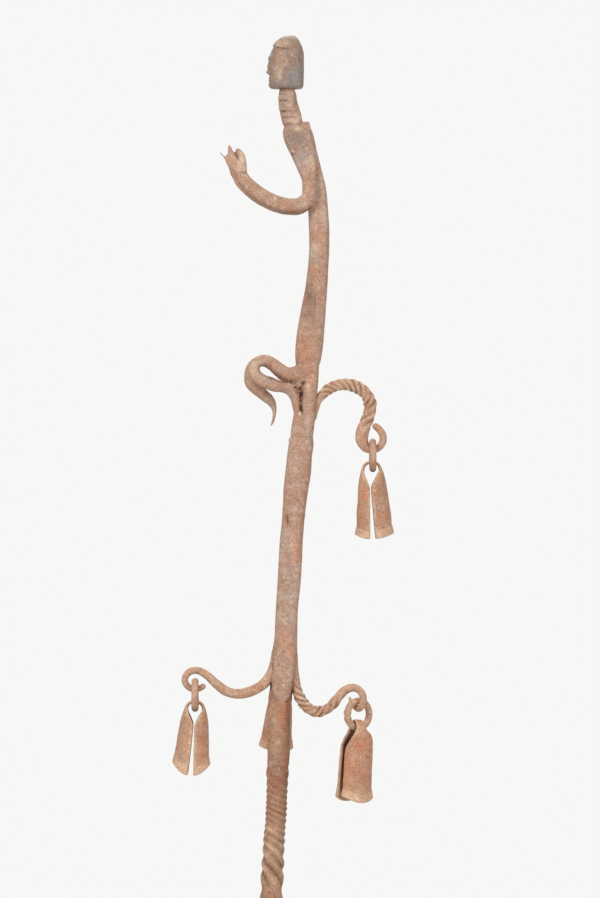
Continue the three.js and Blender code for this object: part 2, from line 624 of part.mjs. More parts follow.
// A point round a bar of half size 1, from a circle to a square with blunt corners. Each corner has
// its own point and one on each side, which draw in to it as the section becomes square.
function sectionPoint(index, square, turns) {
  const corner = Math.floor(index / pointsPerCorner);
  const beside = (index % pointsPerCorner) - 1;
  const spread = roundSpread + (squareSpread - roundSpread) * square;
  const angle = (corner + 0.5) * quarter + beside * spread;
  const reach = Math.max(Math.abs(Math.cos(angle)), Math.abs(Math.sin(angle)));
  const squareRadius = (beside === 0 ? cornerShare : 1) / reach;
  const radius = 1 + (squareRadius - 1) * square;
  const turned = angle - turns * 4 * quarter;
  return [radius * Math.cos(turned), radius * Math.sin(turned)];
}

// A bar along its stations. The section's frame starts from the Y axis and is carried along without
// turning about the line. Growing it by a clearance gives the cutter for a piece that meets it.
function bar(stations, { grow = 0, startRound = 0, endRound = 0 } = {}) {
  const lines = linesOf(stations);
  const count = (stations.length - 1) * samplesPerStation;
  const samples = [];
  let side = new THREE.Vector3(0, 1, 0);
  for (let i = 0; i <= count; i++) {
    const at = i / count;
    const place = lines.place.getPoint(at);
    const tangent = lines.place.getTangent(at);
    side = side.clone().addScaledVector(tangent, -side.dot(tangent)).normalize();
    const before = samples[i - 1];
    const step = before ? place.distanceTo(before.place) : 0;
    const bend = before ? tangent.angleTo(before.tangent) : 0;
    const turns = lines.twist.getPoint(at).x;
    const turned = before ? Math.abs(turns - before.turns) : 0;
    const length = before ? before.length + step : 0;
    const cost = before ? before.cost + step / rowLength + bend * rowsPerRadian + turned * rowsPerTurn : 0;
    samples.push({ at, place, tangent, side, turns, length, cost });
  }
  const last = samples[count];
  const lengthAt = (cost) => {
    const high = Math.max(1, samples.findIndex((s) => s.cost >= cost - minimumShare));
    const [a, b] = [samples[high - 1], samples[high]];
    const mix = (cost - a.cost) / (b.cost - a.cost || 1);
    return a.length + (b.length - a.length) * mix;
  };
  const rowCount = Math.ceil(last.cost);
  const lengths = [];
  for (let i = 0; i <= rowCount; i++) lengths.push(lengthAt((last.cost * i) / rowCount));
  lengths[0] = 0;
  lengths[rowCount] = last.length;
  for (const share of roundingShares) {
    if (startRound) lengths.push(share * startRound);
    if (endRound) lengths.push(last.length - share * endRound);
  }
  lengths.sort((a, b) => a - b);
  const kept = lengths.filter((v, i) => i === 0 || v === last.length || v - lengths[i - 1] > finestRow);
  const rounded = (distance, reach) => {
    if (!reach || distance >= reach) return 1;
    return Math.max(bluntShare, Math.sqrt(1 - (1 - distance / reach) ** 2));
  };
  const rings = kept.map((length, row) => {
    const high = Math.max(1, samples.findIndex((s) => s.length >= length - mergeTolerance));
    const [a, b] = [samples[high - 1], samples[high]];
    const mix = Math.min(1, (length - a.length) / (b.length - a.length || 1));
    const at = a.at + (b.at - a.at) * mix;
    const place = lines.place.getPoint(at);
    const tangent = lines.place.getTangent(at);
    const across = a.side.clone().lerp(b.side, mix);
    across.addScaledVector(tangent, -across.dot(tangent)).normalize();
    const up = new THREE.Vector3().crossVectors(tangent, across);
    const section = lines.section.getPoint(at);
    const narrow = rounded(length, startRound) * rounded(last.length - length, endRound);
    if (row === 0) place.addScaledVector(tangent, -grow);
    if (row === kept.length - 1) place.addScaledVector(tangent, grow);
    const ring = [];
    for (let i = 0; i < sectionPoints; i++) {
      const [u, v] = sectionPoint(i, section.z, lines.twist.getPoint(at).x);
      const point = place.clone();
      point.addScaledVector(up, u * (section.x * narrow + grow));
      point.addScaledVector(across, v * (section.y * narrow + grow));
      ring.push(point);
    }
    return ring;
  });
  return toSolid(ringsToGeometry(rings));
}

// The lowest place of a line, with the bar's half depth there: what hangs on it turns about it.
function lowestOf(stations) {
  const lines = linesOf(stations);
  const count = (stations.length - 1) * samplesPerStation;
  let best = null;
  for (let i = 0; i <= count; i++) {
    const place = lines.place.getPoint(i / count);
    if (!best || place.z < best.place.z) best = { place, wire: lines.section.getPoint(i / count).x };
  }
  return best;
}

// A strip of sheet folded over at its narrow middle. Its two halves widen into wings that close round
// to a front and a back slit. The origin is the middle of the ring's wire that it hangs on.
// The wings' upper edges are skewed, which fades towards the mouth.
function bellSolid({ height, shoulder, mouth, depth, drop, skew, slitTop, slitMouth, slitAside }) {
  const neckHalf = neckStrip / 2;
  const wireRise = ringRadius - Math.sqrt(ringRadius ** 2 - neckHalf ** 2);
  const top = ringWire / 2 + hangPlay + wireRise + sheet / 2;
  const half = (row) => row[1] * (shoulder - sheet) / 2 + row[2] * (mouth - shoulder) / 2;
  const rows = bellOutlineShares.slice(1).reverse().map((row) => [-half(row), row]);
  for (const row of bellOutlineShares) rows.push([half(row), row]);
  const fall = height - sheet / 2;
  const through = (points) => new THREE.CatmullRomCurve3(points, false, 'catmullrom', 0.5);
  const spine = through(rows.map(([x, row]) => new THREE.Vector3(x, 0, top - row[0] * fall)));
  const wings = through(rows.map(([, row]) => new THREE.Vector3(row[3], row[4], row[0])));
  const middle = (at, across) => {
    const point = spine.getPoint(at);
    const wing = wings.getPoint(at);
    const angle = (across * Math.PI) / 2;
    const slit = slitTop / 2 + ((slitMouth - slitTop) / 2) * wing.z ** 2;
    const side = Math.sign(point.x);
    const closing = Math.max(0, wing.y * (Math.abs(point.x) - slit - side * slitAside));
    point.x -= side * closing * (1 - Math.cos(angle));
    point.y = (neckHalf + ((depth - sheet) / 2 - neckHalf) * wing.x) * Math.sin(angle);
    point.z -= drop * Math.sin(angle) ** 2 * wing.z ** 2;
    point.z -= skew * Math.sin(angle) * wing.x * (1 - wing.z) ** 2;
    return point;
  };
  const surface = (at, across, offset) => {
    const low = Math.max(0, at - nudgeShare);
    const high = Math.min(1, at + nudgeShare);
    const left = Math.max(-1, across - nudgeShare);
    const right = Math.min(1, across + nudgeShare);
    const along = middle(high, across).sub(middle(low, across));
    const over = middle(at, right).sub(middle(at, left));
    return middle(at, across).addScaledVector(along.cross(over).normalize(), offset);
  };
  const columns = Array.from({ length: bellColumns + 1 }, (_, i) => -1 + (2 * i) / bellColumns);
  const rings = [];
  for (let row = 0; row <= bellRows; row++) {
    const ring = [];
    for (const across of columns) ring.push(surface(row / bellRows, across, sheet / 2));
    for (const across of columns.toReversed()) ring.push(surface(row / bellRows, across, -sheet / 2));
    rings.push(ring);
  }
  return toSolid(ringsToGeometry(rings, 'strip'));
}

// The head: a rounded block with a smooth face, ears and the edge of a cap. It looks along -X.
function headSolid() {
  const round = (value) => Math.sign(value) * Math.abs(value) ** (2 / headSquareness);
  const through = (points) => new THREE.CatmullRomCurve3(points, false, 'catmullrom', 0.5);
  const outline = through(headOutlineShares.map(([, ...reaches]) => new THREE.Vector3(...reaches)));
  const heights = through(headOutlineShares.map(([height]) => new THREE.Vector3(height, 0, 0)));
  const rings = [];
  for (let row = 0; row <= headRows; row++) {
    const at = row / headRows;
    const { x: front, y: back, z: side } = outline.getPoint(at);
    const height = heights.getPoint(at).x;
    const ring = [];
    for (let column = 0; column < headColumns; column++) {
      const angle = (column / headColumns) * 2 * Math.PI;
      const forward = Math.cos(angle);
      const aside = Math.sin(angle);
      let lift = 0;
      for (const [towards, spread, level, band, reach] of faceShares) {
        const off = Math.atan2(Math.sin(angle - towards), Math.cos(angle - towards)) / spread;
        lift += reach * Math.exp(-off * off - ((height - level) / band) ** 2);
      }
      const capped = 1 / (1 + Math.exp((capLineShare - height) / capEdgeShare));
      lift += capReachShare * Math.min(1, side / capFadeShare) * capped;
      ring.push(new THREE.Vector3(
        ((back - front) / 2 - round(forward) * (back + front) / 2 - lift * forward) * headLength,
        round(aside) * side * headWidth + lift * aside * headLength,
        height * headHeight,
      ));
    }
    rings.push(ring);
  }
  return toSolid(ringsToGeometry(rings));
}

// A ring in the YZ plane.
function ringSolid() {
  const torus = new THREE.TorusGeometry(ringRadius, ringWire / 2, ringSides, ringSegments);
  torus.rotateY(Math.PI / 2);
  return toSolid(torus);
}

// Places that the pieces start from
const ground = new THREE.Vector3(0, 0, 0);
const split = new THREE.Vector3(splitOffset, 0, lowerRise);
const collar = new THREE.Vector3(splitOffset + collarOffset, 0, lowerRise + upperRise);
const from = (origin, [x, y, z], reach) => new THREE.Vector3(x, y, z).multiplyScalar(reach).add(origin);
const shoulder = from(collar, shoulderShare, torsoRise);
const hip = from(collar, hipShare, torsoRise);
const neckFoot = from(collar, neckFootShare, torsoRise);
const headFoot = from(neckFoot, headFootShare, neckRise);

const tang = lay(tangShares, ground, tangLength, lowerGirth);
const lowerShaft = [...tang, ...lay(lowerShaftShares, ground, lowerRise, lowerGirth)];
const upperShaft = lay(upperShaftShares, split, upperRise, upperGirth);
const torso = lay(torsoShares, collar, torsoRise, torsoGirth);
const neck = lay(neckShares, neckFoot, neckRise, neckGirth);
const leftArm = lay(leftArmShares, shoulder, armReach, armGirth);
const leftFingers = lay(leftFingerShares, shoulder, armReach, armGirth);
const leftThumb = lay(leftThumbShares, shoulder, armReach, armGirth);
const rightArm = lay(rightArmShares, shoulder, armReach, armGirth);
const rightFinger = lay(rightFingerShares, shoulder, armReach, armGirth);
const rightThumb = lay(rightThumbShares, shoulder, armReach, armGirth);
const leftLeg = lay(leftLegShares, hip, legReach, legGirth);
const leftWeb = lay(leftWebShares, hip, legReach, legGirth);
const rightLeg = lay(rightLegShares, hip, legReach, legGirth);

// A hook: its stem starts from the shaft, and its eye is sized from the ring's wire that runs in it.
function hook({ root, reach, girth, play, stem, eye, eyeAt }) {
  const eyeRadius = ringWire / 2 + play + girth * eyeWireShare;
  const eyeStations = lay(eye, from(root, eyeAt, reach), eyeRadius, girth);
  return { line: [...lay(stem, root, reach, girth), ...eyeStations], eye: eyeStations };
}

const upperHook = hook({
  root: from(collar, upperRootShare, torsoRise), reach: upperReach, girth: upperHookGirth, play: upperEyePlay,
  stem: upperStemShares, eye: upperEyeShares, eyeAt: upperEyeAtShare,
});
const leftHook = hook({
  root: from(split, leftRootShare, upperRise), reach: leftReach, girth: leftHookGirth, play: leftEyePlay,
  stem: leftStemShares, eye: leftEyeShares, eyeAt: leftEyeAtShare,
});
const rightHook = hook({
  root: from(split, rightRootShare, upperRise), reach: rightReach, girth: rightHookGirth, play: rightEyePlay,
  stem: rightStemShares, eye: rightEyeShares, eyeAt: rightEyeAtShare,
});
const backHook = hook({
  root: from(split, backRootShare, upperRise), reach: backReach, girth: backHookGirth, play: backEyePlay,
  stem: backStemShares, eye: backEyeShares, eyeAt: backEyeAtShare,
});

// The welds: each piece that meets another is cut back by it with the weld gap between them.
const grown = (stations) => bar(stations, { grow: weldGap });
const cut = (solid, ...cutters) => mainBody(cutters.reduce((rest, cutter) => rest.subtract(cutter), solid));

const solids = {};
solids.neck = bar(neck);
solids.head = cut(headSolid().translate(headFoot.toArray()), grown(neck));
solids.torso = cut(bar(torso), grown(neck));
solids.arm_left = cut(
  bar(leftArm, { startRound: armGirth * tipShare, endRound: armGirth * tipShare })
    .add(bar(leftFingers))
    .add(bar(leftThumb, { endRound: armGirth * nailShare })),
  grown(torso), grown(neck),
);
solids.arm_right = cut(
  bar(rightArm, { startRound: armGirth * tipShare, endRound: armGirth * tipShare })
    .add(bar(rightFinger))
    .add(bar(rightThumb, { endRound: armGirth * nailShare })),
  grown(torso), grown(neck),
);
solids.leg_left = cut(bar(leftLeg).add(bar(leftWeb)), grown(torso));
solids.leg_right = cut(bar(rightLeg), grown(torso), grown(leftLeg));
solids.upper_hook = cut(bar(upperHook.line, { endRound: upperHookGirth * hookEndShare }), grown(torso));
solids.left_hook = bar(leftHook.line, { endRound: leftHookGirth * hookEndShare });
solids.right_hook = bar(rightHook.line, { endRound: rightHookGirth * hookEndShare });
solids.back_hook = bar(backHook.line, { endRound: backHookGirth * hookEndShare });
const roots = [grown(leftHook.line), grown(rightHook.line), grown(backHook.line)];
const upperRoots = [grown(torso), grown(upperHook.line)];
const tongue = { startRound: upperGirth * tongueShare };
solids.upper_shaft = cut(bar(upperShaft, tongue), ...upperRoots, ...roots);
solids.lower_shaft = cut(bar(lowerShaft), bar(upperShaft, { ...tongue, grow: weldGap }), ...roots);

const colours = { iron: 0x9c7d6c, worn: 0x8a8582, rust: 0xa8704c };
const staff = new THREE.Group();
staff.name = 'ritual_staff';

function addPiece(parent, name, solid, colour) {
  const material = new THREE.MeshStandardMaterial({ color: colour, metalness: 0.35, roughness: 0.8 });
  const mesh = new THREE.Mesh(toGeometry(solid), material);
  mesh.name = name;
  parent.add(mesh);
}

for (const [name, solid] of Object.entries(solids)) {
  addPiece(staff, name, solid, name === 'head' ? colours.worn : colours.iron);
}

// A ring turns about the low wire of its eye, and its bell about the low wire of the ring. Each
// group sits at the middle of the wire that it turns about: the ring's group has its X along the
// eye's wire, and the bell's group has its Y along the ring's wire.
function hang(name, stations, bell, { yaw = 0, along = 0, bellYaw = 0, lean = 0, spur = false }) {
  const { place, wire } = lowestOf(stations);
  const swing = new THREE.Group();
  swing.name = `${name}_swing`;
  swing.position.copy(place);
  swing.rotation.z = yaw * degrees;
  const ringDrop = ringRadius - (wire + ringWire / 2 + hangPlay);
  let ring = ringSolid();
  if (spur) ring = mainBody(ring.add(bar(lay(spurShares, ground, ringRadius, ringWire))));
  addPiece(swing, `${name}_link`, ring.translate([0, 0, -ringDrop]), colours.iron);
  const ringing = new THREE.Group();
  ringing.name = `${name}_ringing`;
  const turned = along * degrees;
  ringing.position.set(0, Math.sin(turned) * ringRadius, -ringDrop - Math.cos(turned) * ringRadius);
  ringing.rotation.x = turned;
  const sheetMetal = bellSolid(bell).translate([bell.shift, 0, 0]).rotate([0, lean, bellYaw]);
  addPiece(ringing, `${name}_bell`, sheetMetal, colours.rust);
  swing.add(ringing);
  staff.add(swing);
}

const rightTurns = { yaw: rightYaw, along: rightAlong, bellYaw: rightBellYaw };
hang('upper', upperHook.eye, upperBell, { lean: upperLean });
hang('left', leftHook.eye, leftBell, { lean: leftLean });
hang('right', rightHook.eye, rightBell, { ...rightTurns, spur: true });
hang('back', backHook.eye, backBell, { lean: backLean });

export default staff;
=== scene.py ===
# A forged iron staff: a kneeling figure on a bent shaft, with folded sheet bells hung from curled hooks.
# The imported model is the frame. Each forged piece gets its fine hammered surface here, and its patina.
# Lengths are in metres, Z is up, and the figure looks along -X.
import itertools
import json
import math

import bpy
import numpy as np
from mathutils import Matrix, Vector


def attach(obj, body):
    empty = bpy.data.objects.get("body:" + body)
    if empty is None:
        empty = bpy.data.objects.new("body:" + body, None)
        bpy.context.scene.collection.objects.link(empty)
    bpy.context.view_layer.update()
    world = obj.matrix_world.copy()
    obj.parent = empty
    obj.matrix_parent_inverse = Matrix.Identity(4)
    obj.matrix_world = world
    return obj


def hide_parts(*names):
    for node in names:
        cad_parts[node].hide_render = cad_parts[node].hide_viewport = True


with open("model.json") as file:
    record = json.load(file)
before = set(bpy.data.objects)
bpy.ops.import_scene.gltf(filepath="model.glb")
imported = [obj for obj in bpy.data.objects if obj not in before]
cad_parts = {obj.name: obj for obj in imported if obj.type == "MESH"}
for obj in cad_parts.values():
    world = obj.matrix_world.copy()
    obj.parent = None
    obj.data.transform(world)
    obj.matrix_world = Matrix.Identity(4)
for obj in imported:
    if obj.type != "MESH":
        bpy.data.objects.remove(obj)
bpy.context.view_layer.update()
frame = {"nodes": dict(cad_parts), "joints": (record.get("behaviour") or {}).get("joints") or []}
joints = {joint["name"]: np.array(joint["pos_m"]) for joint in frame["joints"]}
print("frame loaded:", len(frame["nodes"]), "nodes")
mm = 0.001

# Forms shared by the pieces

def fullTurn(count):
    return np.linspace(0, 2 * math.pi, count, endpoint=False)

# An angle brought to between half a turn back and half a turn on.
def wrapped(angle):
    return (angle + math.pi) % (2 * math.pi) - math.pi

# One at the middle, falling to nothing on both sides.
def hump(x):
    return np.exp(-(x**2))

# One below zero and nothing above it, with a soft edge about one wide.
def softStep(x):
    return 1 / (1 + np.exp(x.clip(-50, 50)))

# Random heights on the corners of a cubic lattice, blended by a smooth step between them: -1 to 1.
cornerPrimes = np.array([73856093, 19349663, 83492791])
scrambler = 1274126177
seedShift = 31.7

def pebble(points, cell, seed):
    place = points / cell + seedShift * seed + 0.5
    corner = np.floor(place).astype(np.int64)
    part = place - corner
    soft = part * part * (3 - 2 * part)
    total = np.zeros(len(points))
    for step in itertools.product((0, 1), repeat=3):
        key = (corner + step) * cornerPrimes
        mixed = key[:, 0] ^ key[:, 1] ^ key[:, 2]
        mixed = ((mixed ^ (mixed >> 13)) * scrambler) & 0x7FFFFFFF
        weight = np.where(step, soft, 1 - soft).prod(axis=1)
        total += weight * ((mixed >> 7) % 4096 / 2047.5 - 1)
    return total

# A smooth line through points: a cubic on each stretch, its slopes taken from the points beside it.
# With even spacing off, the slopes follow the root of the distances, so tight curls don't overshoot.
def smoothLine(points, t, even=True):
    ends = np.vstack([2 * points[:1] - points[1:2], points, 2 * points[-1:] - points[-2:-1]])
    start = np.minimum(t.astype(int), len(points) - 2)
    u = (t - start)[:, None]
    a, b, c, d = (ends[start + k] for k in range(4))
    gaps = [np.ones((len(t), 1))] * 3
    if not even:
        steps = (b - a, c - b, d - c)
        gaps = [np.linalg.norm(step, axis=1, keepdims=True).clip(1e-9) ** 0.5 for step in steps]
    before, here, after = gaps
    slopeB = ((b - a) / before - (c - a) / (before + here)) * here + (c - b)
    slopeC = (c - b) - (d - b) * here / (here + after) + (d - c) * here / after
    second = 3 * (c - b) - 2 * slopeB - slopeC
    third = 2 * (b - c) + slopeB + slopeC
    return b + slopeB * u + second * u**2 + third * u**3

# Stations of a bar in metres: place, half width, half depth, squareness and turns of twist. Rows that
# leave out their last one or two values get the ones given here.
def lay(stations, origin, reach, girth, square=0, turns=0):
    rows = np.array([row + [square, turns][len(row) - 5:] for row in stations], float)
    rows[:, :3] = rows[:, :3] * reach + origin
    rows[:, 3:5] *= girth
    return rows

# A bar's line, sampled closely, with a frame carried along it that doesn't turn about the line.
def barLine(stations, perStation=40):
    t = np.linspace(0, len(stations) - 1, (len(stations) - 1) * perStation + 1)
    place = smoothLine(stations[:, :3], t, even=False)
    shape = smoothLine(stations[:, 3:], t)
    tangent = np.gradient(place, axis=0)
    tangent /= np.linalg.norm(tangent, axis=1, keepdims=True)
    across = np.empty_like(place)
    side = np.array([0.0, 1.0, 0.0])
    for row, direction in enumerate(tangent):
        side = side - direction * (side @ direction)
        side /= np.linalg.norm(side)
        across[row] = side
    length = np.concatenate([[0], np.cumsum(np.linalg.norm(np.diff(place, axis=0), axis=1))])
    return {
        "place": place, "across": across, "up": np.cross(tangent, across), "length": length,
        "wide": shape[:, 0], "deep": shape[:, 1], "square": shape[:, 2], "turns": shape[:, 3],
    }

# The shares of a rounded end where its rows lie
closeRows = np.array([0.005, 0.02, 0.05, 0.09, 0.15, 0.23, 0.33, 0.45, 0.6, 0.8])
ropeForm = {"groove": 0.9, "ridge": 0.27, "bluntness": 0.75, "patch": 5 * mm, "unevenness": 0.5, "seed": 5}
squarePower = 3
# the thinnest that a rounded end gets, and how soon a twist shows in the ridge mask
thinEnd = 0.03
twistMask = 6

# The bar's skin: place + up * wide * r * cos(a) + across * deep * r * sin(a), with r from a circle to
# a blunt square, or to the rounded ridges and narrow grooves of a tightly twisted bar.
def barSkin(line, step=0.42 * mm, columns=72, rope=0, startRound=0, endRound=0):
    total = line["length"][-1]
    evenly = np.linspace(0, total, int(total / step) + 2)
    rows = np.concatenate([evenly, closeRows * startRound, total - closeRows * endRound])
    length = np.unique(rows.clip(0, total))
    at = lambda name: np.stack([np.interp(length, line["length"], column) for column in line[name].T], axis=1)
    one = lambda name: np.interp(length, line["length"], line[name])[:, None]
    narrow = np.ones(len(length))
    for reach, distance in ((startRound, length), (endRound, total - length)):
        if reach:
            narrow *= np.sqrt(1 - (1 - (distance / reach).clip(0, 1)) ** 2).clip(thinEnd)
    angle = fullTurn(columns)[None, :]
    body = angle + 2 * math.pi * one("turns")
    power = 2 + squarePower * one("square")
    block = (np.abs(np.cos(body)) ** power + np.abs(np.sin(body)) ** power) ** (-1 / power)
    ridged = ropeForm["groove"] + ropeForm["ridge"] * np.abs(np.sin(2 * body)) ** ropeForm["bluntness"]
    rate = np.gradient(one("turns")[:, 0], length)[:, None]
    calm = 1 / (1 + (rate * 2 * one("wide")) ** 2)
    along = np.column_stack([length / ropeForm["patch"], 0 * length, 0 * length])
    uneven = 1 + ropeForm["unevenness"] * pebble(along, 1, ropeForm["seed"])[:, None]
    mix = rope * one("square")
    radius = block * (1 - mix) + ridged * mix
    radius = 1 + (radius - 1) * np.where(rope > 0, calm * uneven, 1)
    up = at("up")[:, None, :] * (one("wide") * radius * np.cos(angle))[:, :, None]
    across = at("across")[:, None, :] * (one("deep") * radius * np.sin(angle))[:, :, None]
    grid = at("place")[:, None, :] + (up + across) * narrow[:, None, None]
    # The ridge mask paints the twist's ridges pale and its grooves dark: painted highlight and painted shade,
    # along with dust and dirt.
    ridge = radius - radius.mean(axis=1, keepdims=True)
    return grid, ridge * (np.abs(rate) * twistMask * one("wide")).clip(0, 1) * narrow[:, None]

# Quads of a grid whose columns close on themselves, with a fan over each end unless the rows close too.
def gridFaces(rows, columns, loop=False):
    index = np.arange(rows * columns).reshape(rows, columns)
    if loop:
        index = np.vstack([index, index[:1]])
    beside = np.roll(index, -1, axis=1)
    quads = np.stack([index[:-1], index[1:], beside[1:], beside[:-1]], axis=-1).reshape(-1, 4)
    if loop:
        return quads, np.empty((0, 3), int)
    foot, top = rows * columns, rows * columns + 1
    first = np.stack([index[0], beside[0], np.full(columns, foot)], axis=-1)
    last = np.stack([beside[-1], index[-1], np.full(columns, top)], axis=-1)
    return quads, np.vstack([first, last])

def readThrees(values, key, count):
    numbers = np.empty(count * 3, np.float32)
    values.foreach_get(key, numbers)
    return numbers.reshape(-1, 3).astype(float)

def pointsOf(mesh):
    return readThrees(mesh.vertices, "co", len(mesh.vertices))

def setPoints(mesh, points):
    mesh.vertices.foreach_set("co", points.astype(np.float32).ravel())

def setValues(mesh, values):
    for key, array in values.items():
        mesh.attributes.new(key, "FLOAT", "POINT").data.foreach_set("value", array.astype(np.float32))

# Puts points, quads and triangles into a mesh object, with its values at the points.
def makeObject(name, points, quads, triangles, values=None):
    mesh = bpy.data.meshes.new(name)
    corners = np.concatenate([quads.ravel(), triangles.ravel()]).astype(np.int32)
    starts = np.concatenate([np.arange(len(quads)) * 4, len(quads) * 4 + np.arange(len(triangles)) * 3])
    mesh.vertices.add(len(points))
    setPoints(mesh, points)
    mesh.loops.add(len(corners))
    mesh.loops.foreach_set("vertex_index", corners)
    mesh.polygons.add(len(starts))
    mesh.polygons.foreach_set("loop_start", starts.astype(np.int32))
    mesh.update(calc_edges=True)
    mesh.validate()
    mesh.shade_smooth()
    setValues(mesh, values or {})
    piece = bpy.data.objects.new(name, mesh)
    bpy.context.collection.objects.link(piece)
    return piece

def closedBar(name, grid, ridge):
    rows, columns = grid.shape[:2]
    quads, triangles = gridFaces(rows, columns)
    points = np.vstack([grid.reshape(-1, 3), grid[0].mean(axis=0), grid[-1].mean(axis=0)])
    return makeObject(name, points, quads, triangles, {"ridge": np.concatenate([ridge.ravel(), [0, 0]])})

# A crumb of rust, as a small ball at a place.
def crumbSkin(x, y, z, radius, sides=16, levels=9, pole=0.05):
    a = fullTurn(sides)[None, :]
    b = np.linspace(pole, math.pi - pole, levels)[:, None]
    ball = np.stack([np.sin(b) * np.cos(a), -np.sin(b) * np.sin(a), -np.cos(b) + 0 * a], axis=-1)
    return ball * radius * mm + np.array([x, y, z]) * mm, np.zeros((levels, sides))

# Joins closed skins that pass through each other into one skin, as forged work runs together.
def fuse(name, parts, voxel, joined=()):
    bpy.ops.object.select_all(action="DESELECT")
    for part in parts:
        part.select_set(True)
    bpy.context.view_layer.objects.active = parts[0]
    bpy.ops.object.join()
    whole = bpy.context.view_layer.objects.active
    whole.name = whole.data.name = name
    remesh = whole.modifiers.new("join", "REMESH")
    remesh.mode, remesh.voxel_size, remesh.use_smooth_shade = "VOXEL", voxel, True
    bpy.ops.object.modifier_apply(modifier="join")
    whole.select_set(False)
    whole.data.shade_smooth()
    easeSeams(whole.data, joined)
    return whole

# Smooths a skin a little all over, and much more where it lies close to two of the joined bars.
easing = {"reach": 1.5 * mm, "allOver": 0.5, "allOverTurns": 3, "atSeams": 0.6, "turns": 44}

def easeSeams(mesh, joined):
    points = pointsOf(mesh)
    edges = np.empty(len(mesh.edges) * 2, np.int32)
    mesh.edges.foreach_get("vertices", edges)
    one, other = edges.reshape(-1, 2).T
    ways = np.bincount(edges, minlength=len(points))[:, None].clip(1)
    seam = np.zeros(len(points))
    if joined:
        gaps = np.sort(np.abs([gapTo(points, lines[name]) for name in joined]), axis=0)
        seam = hump(gaps[1] / easing["reach"])
    near = np.empty_like(points)
    for turn in range(easing["turns"] if joined else easing["allOverTurns"]):
        for k in range(3):
            near[:, k] = np.bincount(one, points[other, k], len(points))
            near[:, k] += np.bincount(other, points[one, k], len(points))
        share = easing["allOver"] if turn < easing["allOverTurns"] else easing["atSeams"] * seam[:, None]
        points += (near / ways - points) * share
    setPoints(mesh, points)
    mesh.update()

# How far points lie outside another bar's skin: past the rim of its oval section at the nearest place,
# and past its end where they lie beyond it.
def gapTo(points, line, share=6, batch=20000):
    last = len(line["place"]) - 1
    kept = np.unique(np.append(np.arange(0, last, share), last))
    place = line["place"][kept]
    tangent = np.cross(line["across"], line["up"])
    gaps = np.empty(len(points))
    for start in range(0, len(points), batch):
        some = points[start:start + batch]
        squared = (some**2).sum(1)[:, None] - 2 * some @ place.T + (place**2).sum(1)[None, :]
        near = kept[squared.argmin(axis=1)]
        away = some - line["place"][near]
        a = (away * line["up"][near]).sum(1)
        b = (away * line["across"][near]).sum(1)
        reach = np.hypot(a / line["wide"][near], b / line["deep"][near]).clip(1e-6)
        aside = np.hypot(a, b) * (1 - 1 / reach)
        along = (away * tangent[near]).sum(1)
        beyond = np.where(near == 0, -along, np.where(near == last, along, 0)).clip(0)
        gaps[start:start + batch] = np.where(beyond > 0, np.hypot(aside.clip(0), beyond), aside)
    return gaps

# Masks at given spots: each spot is a place, its size across, its size up and down, and its strength.
def spotsAt(points, spots):
    mask = np.zeros(len(points))
    for x, y, z, across, tall, strength in spots:
        away = (points - np.array([x, y, z]) * mm) / (np.array([across, across, tall]) * mm)
        mask += strength * np.exp(-(away**2).sum(axis=1))
    return mask

# Finishes a forged piece: hammer marks along its normals, a soft swell and dirt with painted shade where it
# is welded to its neighbours, small cuts with dirt and painted shade in them, and the masks that its material
# reads.
hammering = {
    # size of the marks, their strength and how far they are drawn out upwards
    "marks": [(7 * mm, 1, 0.6), (2.9 * mm, 0.45, 1), (1.1 * mm, 0.16, 1)],
    # the dark at welds and in cuts is dirt and painted shade, where shade falls between and inside the parts
    "depth": 0.55, "weldWidth": 1.1 * mm, "weldInside": -0.6 * mm, "dirtAndShadeWidth": 0.9 * mm, "cutDirtAndShade": 1.7,
}

def forge(piece, nodes, body, material, meets=(), dents=0.2, seed=1, weld=0.45, **spots):
    mesh = piece.data
    points = pointsOf(mesh)
    normals = readThrees(mesh.vertex_normals, "vector", len(points))
    hammer = np.zeros(len(points))
    for k, (cell, strength, drawn) in enumerate(hammering["marks"]):
        hammer += strength * pebble(points * [1, 1, drawn], cell, seed + k)
    push = dents * mm * hammer * hammering["depth"]
    seam = np.zeros(len(points))
    for name in meets:
        gap = gapTo(points, lines[name])
        push += weld * mm * hump(gap / hammering["weldWidth"]) * (gap > hammering["weldInside"])
        seam = np.maximum(seam, hump(gap / hammering["dirtAndShadeWidth"]))
    masks = {key: spotsAt(points, spots.get(key, ())) for key in ("rusty", "dark", "pale", "cool", "cuts")}
    setPoints(mesh, points + normals * (push - masks["cuts"] * mm)[:, None])
    if "ridge" not in mesh.attributes:
        mesh.attributes.new("ridge", "FLOAT", "POINT")
    setValues(mesh, {
        "seam": seam, "rust": masks["rusty"], "stainAndShade": masks["dark"] + hammering["cutDirtAndShade"] * masks["cuts"],
        "pale": masks["pale"], "cool": masks["cool"], "dent": hammer,
    })
    mesh.update()
    mesh.materials.clear()
    mesh.materials.append(material)
    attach(piece, body)
    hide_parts(*nodes)

# Patina

def newNode(tree, kind, inputs=None, **settings):
    node = tree.nodes.new(kind)
    for key, value in settings.items():
        setattr(node, key, value)
    for key, value in (inputs or {}).items():
        if isinstance(value, bpy.types.NodeSocket):
            tree.links.new(value, node.inputs[key])
        else:
            node.inputs[key].default_value = value
    return node

def mathNode(tree, operation, a, b=0.0, clamp=False):
    return newNode(tree, "ShaderNodeMath", {0: a, 1: b}, operation=operation, use_clamp=clamp).outputs[0]

def newGroup(name, inputs, outputs):
    tree = bpy.data.node_groups.new(name, "ShaderNodeTree")
    for label, kind in inputs:
        tree.interface.new_socket(label, in_out="INPUT", socket_type=kind)
    for label, kind in outputs:
        tree.interface.new_socket(label, in_out="OUTPUT", socket_type=kind)
    return tree, newNode(tree, "NodeGroupInput").outputs, newNode(tree, "NodeGroupOutput").inputs

tones = ("Brown", "Grey", "Dust and highlight", "Rust", "Dirt and shade")
shares = ("Greyness", "Dustiness", "Rustiness")
